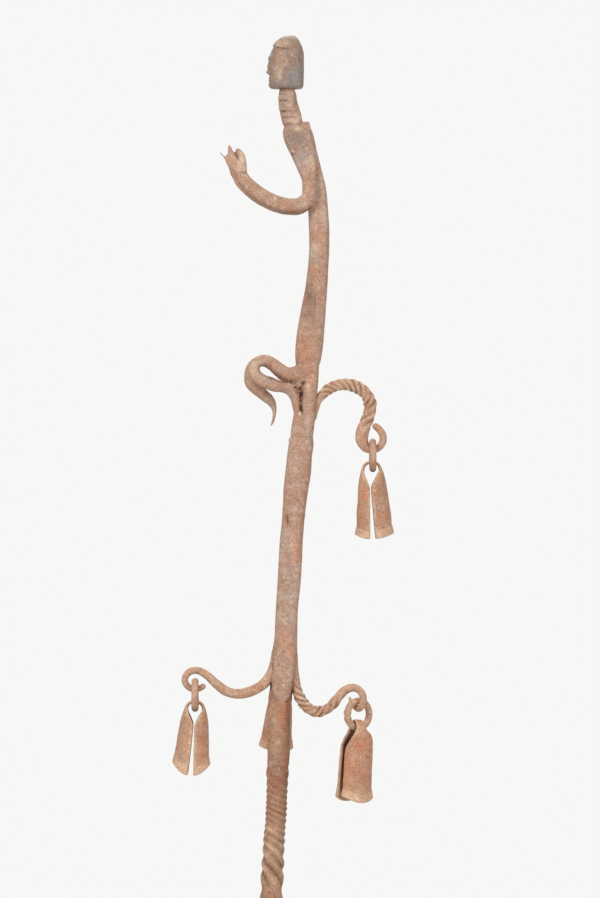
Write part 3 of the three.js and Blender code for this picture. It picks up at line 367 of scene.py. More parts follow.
# The patina's masks, each with the name of the values that carry it.
maskValues = {
    "Ridge": "ridge", "Seam": "seam", "Rust spots": "rust", "Stain and shade": "stainAndShade", "Pale": "pale", "Cool": "cool",
    "Dent": "dent",
}
# Noises by their scale in cells a metre, detail, roughness and distortion
patinaNoises = {
    "clouds": (62, 5, 0.62, 0.3), "mottle": (260, 6, 0.68, 0), "grain": (950, 4, 0.7, 0),
    "crumbs": (620, 2, 0.5, 0), "patches": (95, 7, 0.66, 0.6), "pits": (420, 4, 0.55, 0),
}

# Dusty forged iron: clouds of grey over brown, pale dust with painted highlight on what stands out, dark dirt
# with painted shade in grooves and seams, rust in patches, and a fine grain.
def patinaGroup():
    colour, value = "NodeSocketColor", "NodeSocketFloat"
    inputs = [(label, colour) for label in tones] + [(label, value) for label in (*shares, *maskValues)]
    outputs = [("Color", colour), ("Roughness", value), ("Height", value)]
    tree, given, out = newGroup("forged patina", inputs, outputs)
    times = lambda a, b: mathNode(tree, "MULTIPLY", a, b)
    plus = lambda a, b, clamp=False: mathNode(tree, "ADD", a, b, clamp)
    most = lambda a, b, clamp=False: mathNode(tree, "MAXIMUM", a, b, clamp)

    def fade(value, low, high, toLow=0.0, toHigh=1.0):
        limits = {0: value, 1: low, 2: high, 3: toLow, 4: toHigh}
        return newNode(tree, "ShaderNodeMapRange", limits, clamp=True).outputs[0]

    def over(surface, factor, tone, way="MIX"):
        layers = {0: factor, 6: surface, 7: tone}
        return newNode(tree, "ShaderNodeMix", layers, data_type="RGBA", blend_type=way).outputs[2]

    coords = newNode(tree, "ShaderNodeTexCoord").outputs["Object"]
    noises = {}
    for name, form in patinaNoises.items():
        settings = dict(zip(("Scale", "Detail", "Roughness", "Distortion"), form), Vector=coords)
        noises[name] = newNode(tree, "ShaderNodeTexNoise", settings).outputs[0]
    clouds, mottle, grain, patches = (noises[name] for name in ("clouds", "mottle", "grain", "patches"))
    crumbs = fade(noises["crumbs"], 0.66, 0.72, 0.0, 0.75)
    pits = fade(noises["pits"], 0.3, 0.37, 0.45, 0.0)
    cool = times(given["Cool"], fade(mottle, 0.3, 0.55, 0.4, 1.0))
    grey = plus(times(fade(clouds, 0.42, 0.66), given["Greyness"]), cool, True)
    dust = times(fade(mottle, 0.46, 0.74), given["Dustiness"])
    # Ridges and bell rims take the dust tone: dust, and a painted highlight where light falls.
    raised = fade(plus(given["Ridge"], times(given["Dent"], 0.03)), 0.03, 0.16, 0.0, 0.55)
    pale = times(given["Pale"], fade(mottle, 0.35, 0.55, 0.3, 1.0))
    rust = times(fade(patches, 0.5, 0.7), given["Rustiness"])
    rust = plus(rust, times(given["Rust spots"], fade(mottle, 0.3, 0.6)), True)
    # Grooves, seams and the stain-and-shade spots take the dirt tone: dirt, and painted shade where shade
    # falls.
    groove = fade(given["Ridge"], -0.015, -0.11, 0.0, 0.75)
    dirtAndShade = most(groove, times(given["Seam"], fade(mottle, 0.3, 0.62, 0.1, 0.75)))
    dirtAndShade = most(dirtAndShade, times(given["Stain and shade"], fade(mottle, 0.3, 0.6, 0.4, 1)))
    shade = times(fade(grain, 0.3, 0.7, 0.66, 1.32), fade(clouds, 0.3, 0.7, 0.82, 1.15))
    shade = times(shade, fade(patches, 0.32, 0.68, 1.12, 0.88))
    surface = over(given["Brown"], grey, given["Grey"])
    surface = over(surface, plus(dust, raised, True), given["Dust and highlight"])
    surface = over(surface, rust, given["Rust"])
    surface = over(surface, most(dirtAndShade, pits, True), given["Dirt and shade"])
    surface = over(surface, most(crumbs, pale, True), given["Dust and highlight"])
    grainColour = newNode(tree, "ShaderNodeCombineColor", {0: shade, 1: shade, 2: shade}).outputs[0]
    tree.links.new(over(surface, 1.0, grainColour, "MULTIPLY"), out["Color"])
    tree.links.new(plus(fade(mottle, 0.35, 0.65, -0.08, 0.08), times(rust, 0.08)), out["Roughness"])
    height = plus(plus(times(mottle, 0.7), times(grain, 0.45)), times(crumbs, 0.25))
    tree.links.new(mathNode(tree, "SUBTRACT", height, times(pits, 0.8)), out["Height"])
    return tree

patina = patinaGroup()

def tone(*values):
    parts = [value / 255 for value in values]
    return (*(v / 12.92 if v <= 0.04045 else ((v + 0.055) / 1.055) ** 2.4 for v in parts), 1)

# One finish of iron from the shared patina. The shader and the bump stay in the material.
def ironFinish(name, slot, finish):
    material = bpy.data.materials.new(name)
    material.use_nodes = True
    material["slot"] = slot
    tree = material.node_tree
    tree.nodes.clear()
    inputs = dict(zip(tones, [tone(*values) for values in finish["tones"]]))
    inputs.update(zip(shares, finish["shares"]))
    for label, key in maskValues.items():
        inputs[label] = newNode(tree, "ShaderNodeAttribute", attribute_name=key).outputs["Fac"]
    skin = newNode(tree, "ShaderNodeGroup", inputs, node_tree=patina).outputs
    relief = {"Strength": 0.6, "Distance": finish["relief"], "Height": skin["Height"]}
    shader = newNode(tree, "ShaderNodeBsdfPrincipled", {
        "Base Color": skin["Color"],
        "Roughness": mathNode(tree, "ADD", skin["Roughness"], finish["roughness"], True),
        "Normal": newNode(tree, "ShaderNodeBump", relief).outputs[0],
        "Metallic": finish.get("metallic", 0.0), "Specular IOR Level": finish.get("specular", 0.3),
    })
    newNode(tree, "ShaderNodeOutputMaterial", {"Surface": shader.outputs[0]})
    return material

# Each finish: its tones of brown, grey, dust (which also serves as painted highlight), rust and dirt (which
# also serves as painted shade), how much grey, dust and rust it shows, its roughness and the height of its
# relief.
finishes = {
    "iron": dict(
        tones=[(176, 136, 115), (156, 140, 130), (222, 194, 168), (206, 128, 84), (72, 50, 38)],
        shares=(0.75, 0.5, 0.35), roughness=0.78, relief=0.35 * mm,
    ),
    "dusty_iron": dict(
        tones=[(188, 146, 120), (166, 146, 132), (226, 196, 168), (208, 132, 90), (112, 84, 66)],
        shares=(0.6, 0.6, 0.3), roughness=0.82, relief=0.4 * mm, slot="iron",
    ),
    "earthy_iron": dict(
        tones=[(162, 118, 94), (138, 116, 102), (214, 182, 152), (190, 112, 72), (60, 40, 30)],
        shares=(0.6, 0.35, 0.4), roughness=0.8, relief=0.4 * mm, slot="iron",
    ),
    "worn_iron": dict(
        tones=[(148, 119, 101), (130, 125, 122), (204, 180, 154), (190, 118, 78), (70, 50, 40)],
        shares=(1.0, 0.3, 0.2), roughness=0.55, relief=0.25 * mm, metallic=0.15, specular=0.45,
    ),
    "rusty_sheet": dict(
        tones=[(184, 138, 110), (158, 136, 120), (216, 182, 152), (212, 126, 82), (70, 50, 40)],
        shares=(0.75, 0.5, 0.5), roughness=0.8, relief=0.3 * mm,
    ),
}
skins = {}
for name, finish in finishes.items():
    skins[name] = ironFinish(name.replace("_", " "), finish.get("slot", name), finish)
print("patina made:", ", ".join(skins))

# Shaft. All stations are shares of a reach and a girth: place, half width, half depth, squareness and
# turns. Spots are in millimetres: place, size across, size up and down, strength.

lowerShaft = {
    "reach": 228.8 * mm, "girth": 13 * mm, "tang": 130 * mm, "tangSquare": 1,
    "tangStations": [
        [0, 0, -1, 0.05, 0.05], [0, 0, -0.92, 0.18, 0.18], [0, 0, -0.677, 0.45, 0.45],
        [0, 0, -0.6, 0.48, 0.48], [0, 0, -0.477, 0.48, 0.48], [0, 0, -0.123, 0.48, 0.48],
    ],
    "stations": [
        [0, 0, 0, 0.48, 0.48, 1], [0.002, 0, 0.24, 0.47, 0.47, 1], [0.006, 0, 0.371, 0.45, 0.45, 0.95],
        [0.01, 0, 0.489, 0.43, 0.43, 0.8, -0.2], [0.013, 0, 0.546, 0.42, 0.42, 0.75, -0.45],
        [0.016, 0, 0.612, 0.42, 0.42, 0.75, -0.9], [0.018, 0, 0.646, 0.42, 0.42, 0.72, -1.3],
        [0.021, 0, 0.68, 0.42, 0.42, 0.7, -1.8], [0.023, 0, 0.712, 0.42, 0.42, 0.65, -2.3],
        [0.024, 0, 0.743, 0.42, 0.42, 0.52, -2.85], [0.025, 0, 0.774, 0.43, 0.43, 0.38, -3.3],
        [0.026, 0, 0.811, 0.46, 0.46, 0.18, -3.65], [0.03, 0, 0.848, 0.475, 0.48, 0.12, -3.85],
        [0.032, 0, 0.927, 0.485, 0.485, 0.2, -3.85], [0.034, 0.005, 0.99, 0.475, 0.43, 0.3, -3.85],
        [0.038, 0.015, 1.037, 0.45, 0.32, 0.3, -3.85], [0.041, 0.018, 1.073, 0.42, 0.26, 0.3, -3.85],
        [0.044, 0.02, 1.108, 0.35, 0.2, 0.3, -3.85],
    ],
    # Rust fills the twist's grooves a little and swells the bar there: rows, shift, swell, flattening
    "rusted": slice(3, 12), "rustShift": 0.0015, "rustSwell": (0.025, 0.02), "rustFill": 0.75,
    "spots": {
        "rusty": [(10, -6, 220, 3, 9, 0.95), (9.5, -6, 200, 3, 14, 0.4), (3, -6, 178, 3, 8, 0.35)],
        # The three tall dark spots on the right side, from z 160 to 216 mm, are painted shade on the side
        # turned from the key lamp.
        "dark": [
            (13, -3, 216, 1.4, 14, 0.6), (11, -2, 186, 4, 16, 0.4), (10, 0, 160, 4, 20, 0.35),
            (10, -5, 203, 3, 3, 0.4),
        ],
        "cool": [(6, -5, 190, 4, 8, 0.6), (3, -6, 216, 2.5, 8, 0.5)],
        "pale": [
            (6.5, -6, 215, 5, 10, 0.4), (7, -6, 201, 5, 7, 0.2), (2.5, -5, 152, 3, 3, 0.5),
            (5, -6, 120, 3, 4, 0.4), (1, -6, 140, 2, 4, 0.4), (3, -6, 140, 7, 30, 0.22),
        ],
        "cuts": [(4, -6, 183, 4, 0.5, 0.2), (8, -6, 189, 3.5, 0.45, 0.2)],
    },
}
upperShaft = {
    "offset": 7.4 * mm, "reach": 157.5 * mm, "girth": 14.4 * mm, "square": 0.5,
    "tongueRound": 7.2 * mm, "topRound": 0.35 * mm,
    "stations": [
        [0.0095, -0.029, -0.008, 0.27, 0.09, 0.2], [0.0098, -0.029, 0.014, 0.35, 0.16, 0.25],
        [0.01, -0.025, 0.053, 0.41, 0.22, 0.3], [0.016, -0.015, 0.107, 0.44, 0.33, 0.35],
        [0.02, -0.005, 0.171, 0.475, 0.44, 0.4], [0.025, 0, 0.251, 0.47, 0.47, 0.45],
        [0.029, 0, 0.335, 0.46, 0.47], [0.035, 0, 0.427, 0.48, 0.48], [0.041, 0, 0.518, 0.49, 0.48],
        [0.046, 0, 0.61, 0.48, 0.47], [0.052, 0, 0.678, 0.47, 0.47], [0.058, 0, 0.747, 0.48, 0.48],
        [0.062, 0, 0.792, 0.51, 0.49], [0.071, 0, 0.861, 0.53, 0.5, 0.45], [0.077, 0, 0.93, 0.52, 0.5, 0.45],
        [0.083, 0, 0.975, 0.52, 0.5, 0.4], [0.083, 0, 1, 0.51, 0.49, 0.4],
    ],
    "spots": {
        "rusty": [(15, -6, 262, 5, 12, 0.3), (18, -6, 318, 5, 14, 0.3), (11.5, -6.5, 337.5, 1.6, 3.4, 0.7)],
        "dark": [(12, -6.5, 339, 0.9, 2, 1.1), (12.5, -6.5, 335.8, 0.7, 1.7, 0.9)],
        "cool": [(13, -6, 300, 4, 12, 0.5)],
    },
}
collarOffset = 13.1 * mm
ground = np.zeros(3)
split = np.array([upperShaft["offset"], 0, lowerShaft["reach"]])
collar = split + [collarOffset, 0, upperShaft["reach"]]

# Figure

torso = {
    "reach": 188.7 * mm, "girth": 12.6 * mm, "square": 0.4,
    "stations": [
        [0.001, 0, -0.078, 0.21, 0.21], [0.002, 0, -0.024, 0.3, 0.3], [0.002, 0, -0.007, 0.37, 0.35],
        [0.002, 0, 0.002, 0.53, 0.5], [0.004, 0, 0.021, 0.54, 0.52], [0.008, 0, 0.049, 0.53, 0.51],
        [0.011, 0, 0.07, 0.52, 0.5], [0.017, 0, 0.091, 0.43, 0.45], [0.024, 0, 0.113, 0.37, 0.41],
        [0.028, 0, 0.145, 0.35, 0.39], [0.029, 0, 0.176, 0.39, 0.41], [0.025, 0, 0.205, 0.48, 0.45],
        [0.021, 0, 0.231, 0.57, 0.48], [0.023, 0, 0.262, 0.64, 0.52], [0.027, 0, 0.3, 0.66, 0.52],
        [0.032, 0, 0.348, 0.63, 0.52], [0.039, 0, 0.405, 0.59, 0.49], [0.047, 0, 0.466, 0.53, 0.48],
        [0.053, 0, 0.533, 0.5, 0.48], [0.057, 0, 0.596, 0.48, 0.48], [0.057, 0, 0.672, 0.48, 0.48],
        [0.053, 0, 0.736, 0.48, 0.48], [0.045, 0, 0.793, 0.5, 0.44, 0.45],
        [0.031, 0, 0.844, 0.52, 0.36, 0.45], [0.016, 0, 0.892, 0.56, 0.31, 0.5],
        [0.003, 0, 0.94, 0.6, 0.29, 0.5], [-0.008, 0, 0.978, 0.58, 0.29, 0.5],
        [-0.011, 0, 1, 0.55, 0.29, 0.5],
    ],
}
# Inside the shaft the torso's foot stays as thick as it comes out.
for row in torso["stations"][1:3]:
    row[3:5] = torso["stations"][3][3:5]
figure = {
    "voxel": 0.47 * mm,
    # crumbs of rust in the crevice under the near thigh: place and radius in millimetres
    "crumbs": [
        (13.2, -6.6, 418.6, 0.9), (14.6, -6.4, 417.9, 1.1), (16.0, -6.2, 419.2, 1), (15.8, -5.8, 417.2, 1.1),
        (17.3, -5.4, 418.0, 1.2), (18.6, -5, 419.2, 1.1), (18.2, -4.4, 416.6, 1.1), (19.8, -4.4, 417.9, 1.1),
        (20.8, -5, 420.0, 1.1), (21.7, -5.4, 420.8, 0.9), (19.0, -3.6, 414.6, 1), (20.0, -3.6, 413.6, 1),
        (19.3, -3.2, 411.8, 1), (20.3, -3.2, 409.8, 0.9), (19.9, -3, 407.2, 0.8), (17.6, -4, 415.5, 0.9),
    ],
    "spots": {
        "rusty": [
            (24, -5, 436, 4, 12, 0.25), (26, -5, 424, 4, 8, 0.3), (19, -2, 412, 3, 7, 0.8),
            (17, -7, 421.5, 4, 1.5, 0.5), (19.5, -5.5, 404, 2.4, 5, 0.35), (17, -8, 560, 1.5, 8, 0.5),
            (31, -6, 500, 2.5, 20, 0.25),
        ],
        # Among the dark spots: those at z 401–421 mm are painted shade in the crevice under the near thigh,
        # with its rust; those from x −2.5 to 9 mm at z 420–427 mm are painted shade on the inner rim of the
        # leg's loop; the one at z 520.5 mm is a painted shadow under the forearm.
        "dark": [
            (17, -8, 563, 7, 11, 0.34), (25, -5.5, 459.5, 4.5, 4, 0.5), (25.5, -5.5, 471, 3, 7, 0.45),
            (20.2, -3, 411, 1.5, 3, 0.9), (20.6, -2.8, 405.5, 1.4, 3.4, 1.7),
            (18.4, -3.4, 415.6, 1.7, 1, 1.8), (21.6, -4.6, 419.4, 1.7, 1, 1.9),
            (15.4, -5.6, 419, 1.8, 0.9, 1.7), (20.9, -3, 401.5, 1.1, 3, 1.4),
            (20.3, -3, 413.2, 1.1, 1.6, 1.7), (20.2, -5.6, 405, 1.1, 2.8, 1.3),
            (20.8, -5.6, 401.6, 0.9, 2.2, 1.1), (19.2, -4, 418.4, 0.8, 0.7, 1.5),
            (17.2, -4.6, 417.4, 0.9, 0.5, 1.5), (19.8, -3.2, 413.4, 0.7, 0.6, 1.5),
            (14, -6, 419.9, 1, 0.5, 1.2), (-13, -12, 544.4, 2.6, 0.7, 0.3), (14.9, -8, 555.8, 1.2, 1.6, 0.9),
            (-2.5, -8, 427, 2.4, 2.2, 0.9), (3, -8, 422, 3.4, 1.2, 0.9), (9, -7, 420.2, 3, 1, 0.9),
            (13, -8, 520.5, 9, 1.6, 0.5), (-8, -6, 423, 2, 4, 0.4),
        ],
        # The pale spot at z 571.5 mm on top of the chest is a painted highlight.
        "pale": [
            (19.8, -6, 400.6, 1, 1, 1.2), (19.2, -3, 414.4, 0.6, 0.6, 0.9), (20.9, -3, 408.6, 0.5, 0.7, 0.8),
            (25, -5, 417.5, 1.2, 1.2, 0.8), (21.5, -5, 421, 3, 2, 0.4), (18.5, -8, 571.5, 3.5, 2, 1),
            (-15, -12, 551, 4.5, 7, 0.65), (-9, -8, 424.5, 5.5, 6.5, 0.75), (-22, 10, 556, 4, 5, 0.5),
            (2, -9, 534, 5, 2.5, 0.3), (28, -5, 500, 2, 2, 0.6), (31, -4, 498, 1.5, 1.5, 0.9),
            (26.5, -8, 549, 3, 4, 0.7), (15.4, -8, 557.4, 1, 1, 0.8),
        ],
        "cool": [
            (15, -8, 565, 6, 9, 1.2), (21, -7, 555, 5, 9, 0.8), (28, -6, 498, 4, 8, 0.6),
            (26, -5.5, 473, 3, 8, 0.6), (-16, -12, 538, 3, 5, 0.5),
        ],
        "cuts": [
            (28.8, -6, 467.5, 0.45, 4.5, 0.3), (-13, -12, 544.4, 2.4, 0.8, 0.35),
            (27.4, -6, 458, 0.4, 2.5, 0.2), (20.6, -3, 406, 0.8, 2.8, 0.7), (20, -3, 411.5, 0.9, 1.5, 0.5),
            (21.3, -3, 401, 0.6, 2.2, 0.45), (20.3, -5.8, 404.5, 0.7, 2.8, 0.5),
            (20.9, -5.8, 401.4, 0.6, 2, 0.4), (22.5, -6, 422.3, 1.2, 0.6, 0.4),
            (24.3, -6, 423.7, 1.3, 0.6, 0.32), (26.3, -6, 425.2, 1.3, 0.6, 0.22),
        ],
    },
}
# Slits between the fingers of the near hand, as deep cuts with painted shade in them: x, z and depth
for x, z, depth in ((-19.6, 558, 0.6), (-18.8, 556.2, 0.6), (-18, 554.4, 0.6), (-17.2, 552.6, 0.4)):
    figure["spots"]["cuts"].append((x, -12, z, 0.55, 1.2, depth))
    figure["spots"]["dark"].append((x, -12, z, 0.6, 1.2, 0.3 + 1.5 * depth))
neck = {
    "reach": 20 * mm, "girth": 12 * mm,
    "stations": [
        [0.048, 0, -0.42, 0.3, 0.3, 0.3], [0.024, 0, -0.21, 0.35, 0.35, 0.3],
        [0, 0, 0, 0.47, 0.43, 0.45, 0.02], [-0.036, 0, 0.168, 0.46, 0.43, 0.5, 0.06],
        [-0.072, 0, 0.33, 0.44, 0.42, 0.5, 0.1], [-0.105, 0, 0.495, 0.43, 0.42, 0.5, 0.14],
        [-0.132, 0, 0.66, 0.43, 0.42, 0.5, 0.18], [-0.15, 0, 0.822, 0.44, 0.42, 0.45, 0.22],
        [-0.162, 0, 0.99, 0.38, 0.38, 0.4, 0.25], [-0.168, 0, 1.14, 0.28, 0.28, 0.3, 0.25],
        [-0.171, 0, 1.32, 0.27, 0.27, 0.3, 0.25],
    ],
    "spots": {
        "cuts": [
            (8.4, -3, 592, 3.5, 0.5, 0.3), (9, -3.6, 588, 4.5, 0.55, 0.55),
            (10.6, -3.6, 581.7, 4.5, 0.55, 0.5), (11.6, -4, 577.9, 4.5, 0.5, 0.35),
            (13, -4, 574, 5, 0.5, 0.3), (11.2, -5, 593.5, 0.5, 2, 0.3), (8.6, -4, 585, 1.6, 0.4, 0.2),
        ],
        "pale": [(15, -4, 590, 1.6, 6, 0.6), (16, -4, 576, 3, 2.5, 0.7), (12, -5, 594, 4, 1.5, 0.4)],
        "dark": [(16.5, -2, 583, 1.5, 8, 0.3), (11, -4, 584, 5, 10, 0.22)],
    },
}
arms = {
    "reach": 46.2 * mm, "girth": 8.6 * mm, "square": 0.3, "tip": 0.45, "nail": 0.25,
    "bars": {
        "arm_left": [
            [0.077, -0.1, 0.071, 0.72, 0.26, 0.4], [0.069, -0.108, -0.026, 0.9, 0.3, 0.4],
            [0.105, -0.117, -0.143, 0.92, 0.33, 0.4], [0.152, -0.126, -0.273, 0.83, 0.35, 0.4],
            [0.191, -0.136, -0.403, 0.73, 0.37, 0.4], [0.222, -0.152, -0.532, 0.6, 0.4, 0.35],
            [0.243, -0.167, -0.649, 0.51, 0.42, 0.35], [0.245, -0.177, -0.766, 0.51, 0.42],
            [0.227, -0.184, -0.89, 0.5, 0.42], [0.11, -0.19, -0.974, 0.51, 0.43],
            [-0.019, -0.197, -0.984, 0.51, 0.44], [-0.136, -0.203, -0.961, 0.5, 0.44],
            [-0.266, -0.212, -0.913, 0.5, 0.43], [-0.396, -0.221, -0.838, 0.49, 0.42],
            [-0.526, -0.225, -0.734, 0.48, 0.4], [-0.612, -0.227, -0.636, 0.45, 0.36],
            [-0.649, -0.227, -0.552, 0.48, 0.33], [-0.66, -0.227, -0.481, 0.57, 0.29],
            [-0.671, -0.227, -0.403, 0.55, 0.24],
        ],
        "fingers_left": [
            [-0.695, -0.227, -0.506, 0.3, 0.22, 0.2], [-0.73, -0.229, -0.403, 0.3, 0.2, 0.2],
            [-0.76, -0.234, -0.325, 0.24, 0.17, 0.2], [-0.782, -0.238, -0.253, 0.14, 0.13, 0.2],
            [-0.792, -0.24, -0.205, 0.06, 0.06, 0.2],
        ],
        "thumb_left": [
            [-0.63, -0.227, -0.519, 0.33, 0.23, 0.2], [-0.618, -0.227, -0.416, 0.31, 0.22, 0.2],
            [-0.648, -0.232, -0.33, 0.27, 0.21, 0.2], [-0.684, -0.236, -0.271, 0.2, 0.17, 0.2],
            [-0.705, -0.238, -0.242, 0.1, 0.1, 0.2],
        ],
        "arm_right": [
            [0.082, 0.1, 0.065, 0.7, 0.26, 0.4], [0.074, 0.108, -0.026, 0.87, 0.3, 0.4],
            [0.11, 0.117, -0.143, 0.9, 0.33, 0.4], [0.157, 0.126, -0.273, 0.8, 0.35, 0.4],
            [0.196, 0.136, -0.403, 0.72, 0.37, 0.4], [0.227, 0.152, -0.532, 0.59, 0.4, 0.35],
            [0.248, 0.167, -0.649, 0.51, 0.42, 0.35], [0.253, 0.177, -0.779, 0.49, 0.42],
            [0.232, 0.184, -0.896, 0.49, 0.42], [0.11, 0.19, -0.982, 0.49, 0.43],
            [-0.019, 0.197, -0.992, 0.49, 0.44], [-0.142, 0.203, -0.969, 0.49, 0.44],
            [-0.271, 0.212, -0.922, 0.48, 0.43], [-0.404, 0.221, -0.849, 0.48, 0.42],
            [-0.539, 0.225, -0.748, 0.45, 0.4], [-0.638, 0.227, -0.649, 0.43, 0.36],
            [-0.684, 0.227, -0.558, 0.44, 0.33], [-0.716, 0.227, -0.481, 0.48, 0.29],
            [-0.749, 0.227, -0.409, 0.41, 0.24],
        ],
        "fingers_right": [
            [-0.76, 0.227, -0.481, 0.23, 0.19, 0.2], [-0.817, 0.232, -0.395, 0.15, 0.14, 0.2],
            [-0.856, 0.238, -0.338, 0.09, 0.09, 0.2], [-0.892, 0.242, -0.294, 0.06, 0.06, 0.2],
            [-0.923, 0.245, -0.257, 0.05, 0.05, 0.2],
        ],
        "thumb_right": [
            [-0.726, 0.227, -0.481, 0.27, 0.21, 0.2], [-0.77, 0.227, -0.39, 0.24, 0.2, 0.2],
            [-0.804, 0.232, -0.325, 0.2, 0.17, 0.2], [-0.822, 0.236, -0.291, 0.14, 0.14, 0.2],
            [-0.831, 0.238, -0.27, 0.08, 0.08, 0.2],
        ],
    },
}
legs = {
    "reach": 33 * mm, "girth": 8 * mm, "square": 0.3,
    "bars": {
        "leg_left": [
            [0.073, -0.018, 0.091, 0.4, 0.28], [-0.036, -0.048, 0.015, 0.65, 0.38],
            [-0.153, -0.1, -0.051, 0.64, 0.44], [-0.273, -0.152, -0.078, 0.55, 0.44],
            [-0.396, -0.188, -0.073, 0.49, 0.42], [-0.536, -0.197, 0.009, 0.45, 0.4],
            [-0.664, -0.197, 0.113, 0.41, 0.39], [-0.791, -0.197, 0.171, 0.39, 0.38],
            [-0.918, -0.197, 0.142, 0.39, 0.38], [-0.993, -0.197, 0.045, 0.39, 0.38],
            [-0.967, -0.197, -0.082, 0.4, 0.38], [-0.864, -0.197, -0.182, 0.45, 0.38],
            [-0.733, -0.194, -0.244, 0.5, 0.38], [-0.605, -0.188, -0.291, 0.46, 0.36],
            [-0.473, -0.176, -0.32, 0.38, 0.33], [-0.356, -0.148, -0.375, 0.35, 0.31],
            [-0.273, -0.118, -0.502, 0.31, 0.3], [-0.236, -0.091, -0.644, 0.29, 0.31],
            [-0.207, -0.073, -0.782, 0.28, 0.33], [-0.185, -0.055, -0.927, 0.24, 0.29],
        ],
        "leg_right": [
            [0.073, 0.018, 0.073, 0.4, 0.28], [-0.036, 0.055, -0.033, 0.5, 0.4],
            [-0.156, 0.109, -0.102, 0.51, 0.45], [-0.284, 0.155, -0.124, 0.49, 0.44],
            [-0.418, 0.188, -0.109, 0.47, 0.42], [-0.549, 0.197, -0.018, 0.44, 0.4],
            [-0.676, 0.197, 0.087, 0.4, 0.39], [-0.804, 0.197, 0.153, 0.39, 0.38],
            [-0.942, 0.197, 0.142, 0.39, 0.38], [-1.044, 0.197, 0.045, 0.4, 0.38],
            [-1.076, 0.197, -0.1, 0.42, 0.38], [-1.047, 0.197, -0.244, 0.45, 0.38],
            [-0.942, 0.188, -0.356, 0.44, 0.36], [-0.793, 0.176, -0.476, 0.4, 0.34],
            [-0.684, 0.164, -0.585, 0.31, 0.29], [-0.636, 0.152, -0.705, 0.17, 0.23],
            [-0.633, 0.145, -0.825, 0.12, 0.17], [-0.656, 0.142, -0.931, 0.1, 0.14],
            [-0.695, 0.142, -1.022, 0.06, 0.07],
        ],
        "web_left": [
            [-0.229, -0.073, -0.149, 0.36, 0.19, 0.2], [-0.207, -0.042, -0.309, 0.39, 0.19, 0.2],
            [-0.182, -0.021, -0.491, 0.33, 0.19, 0.2], [-0.164, -0.018, -0.673, 0.3, 0.2, 0.2],
            [-0.142, -0.015, -0.818, 0.25, 0.2, 0.2],
        ],
    },
}
shoulder = collar + np.array([-0.034, 0, 0.975]) * torso["reach"]
hip = collar + np.array([0.025, 0, 0.215]) * torso["reach"]
neckFoot = collar + np.array([-0.028, 0, 1]) * torso["reach"]
headFoot = neckFoot + np.array([-0.22, 0, 1.035]) * neck["reach"]

# Hooks, each a stem from the shaft and an eye sized round its ring's wire

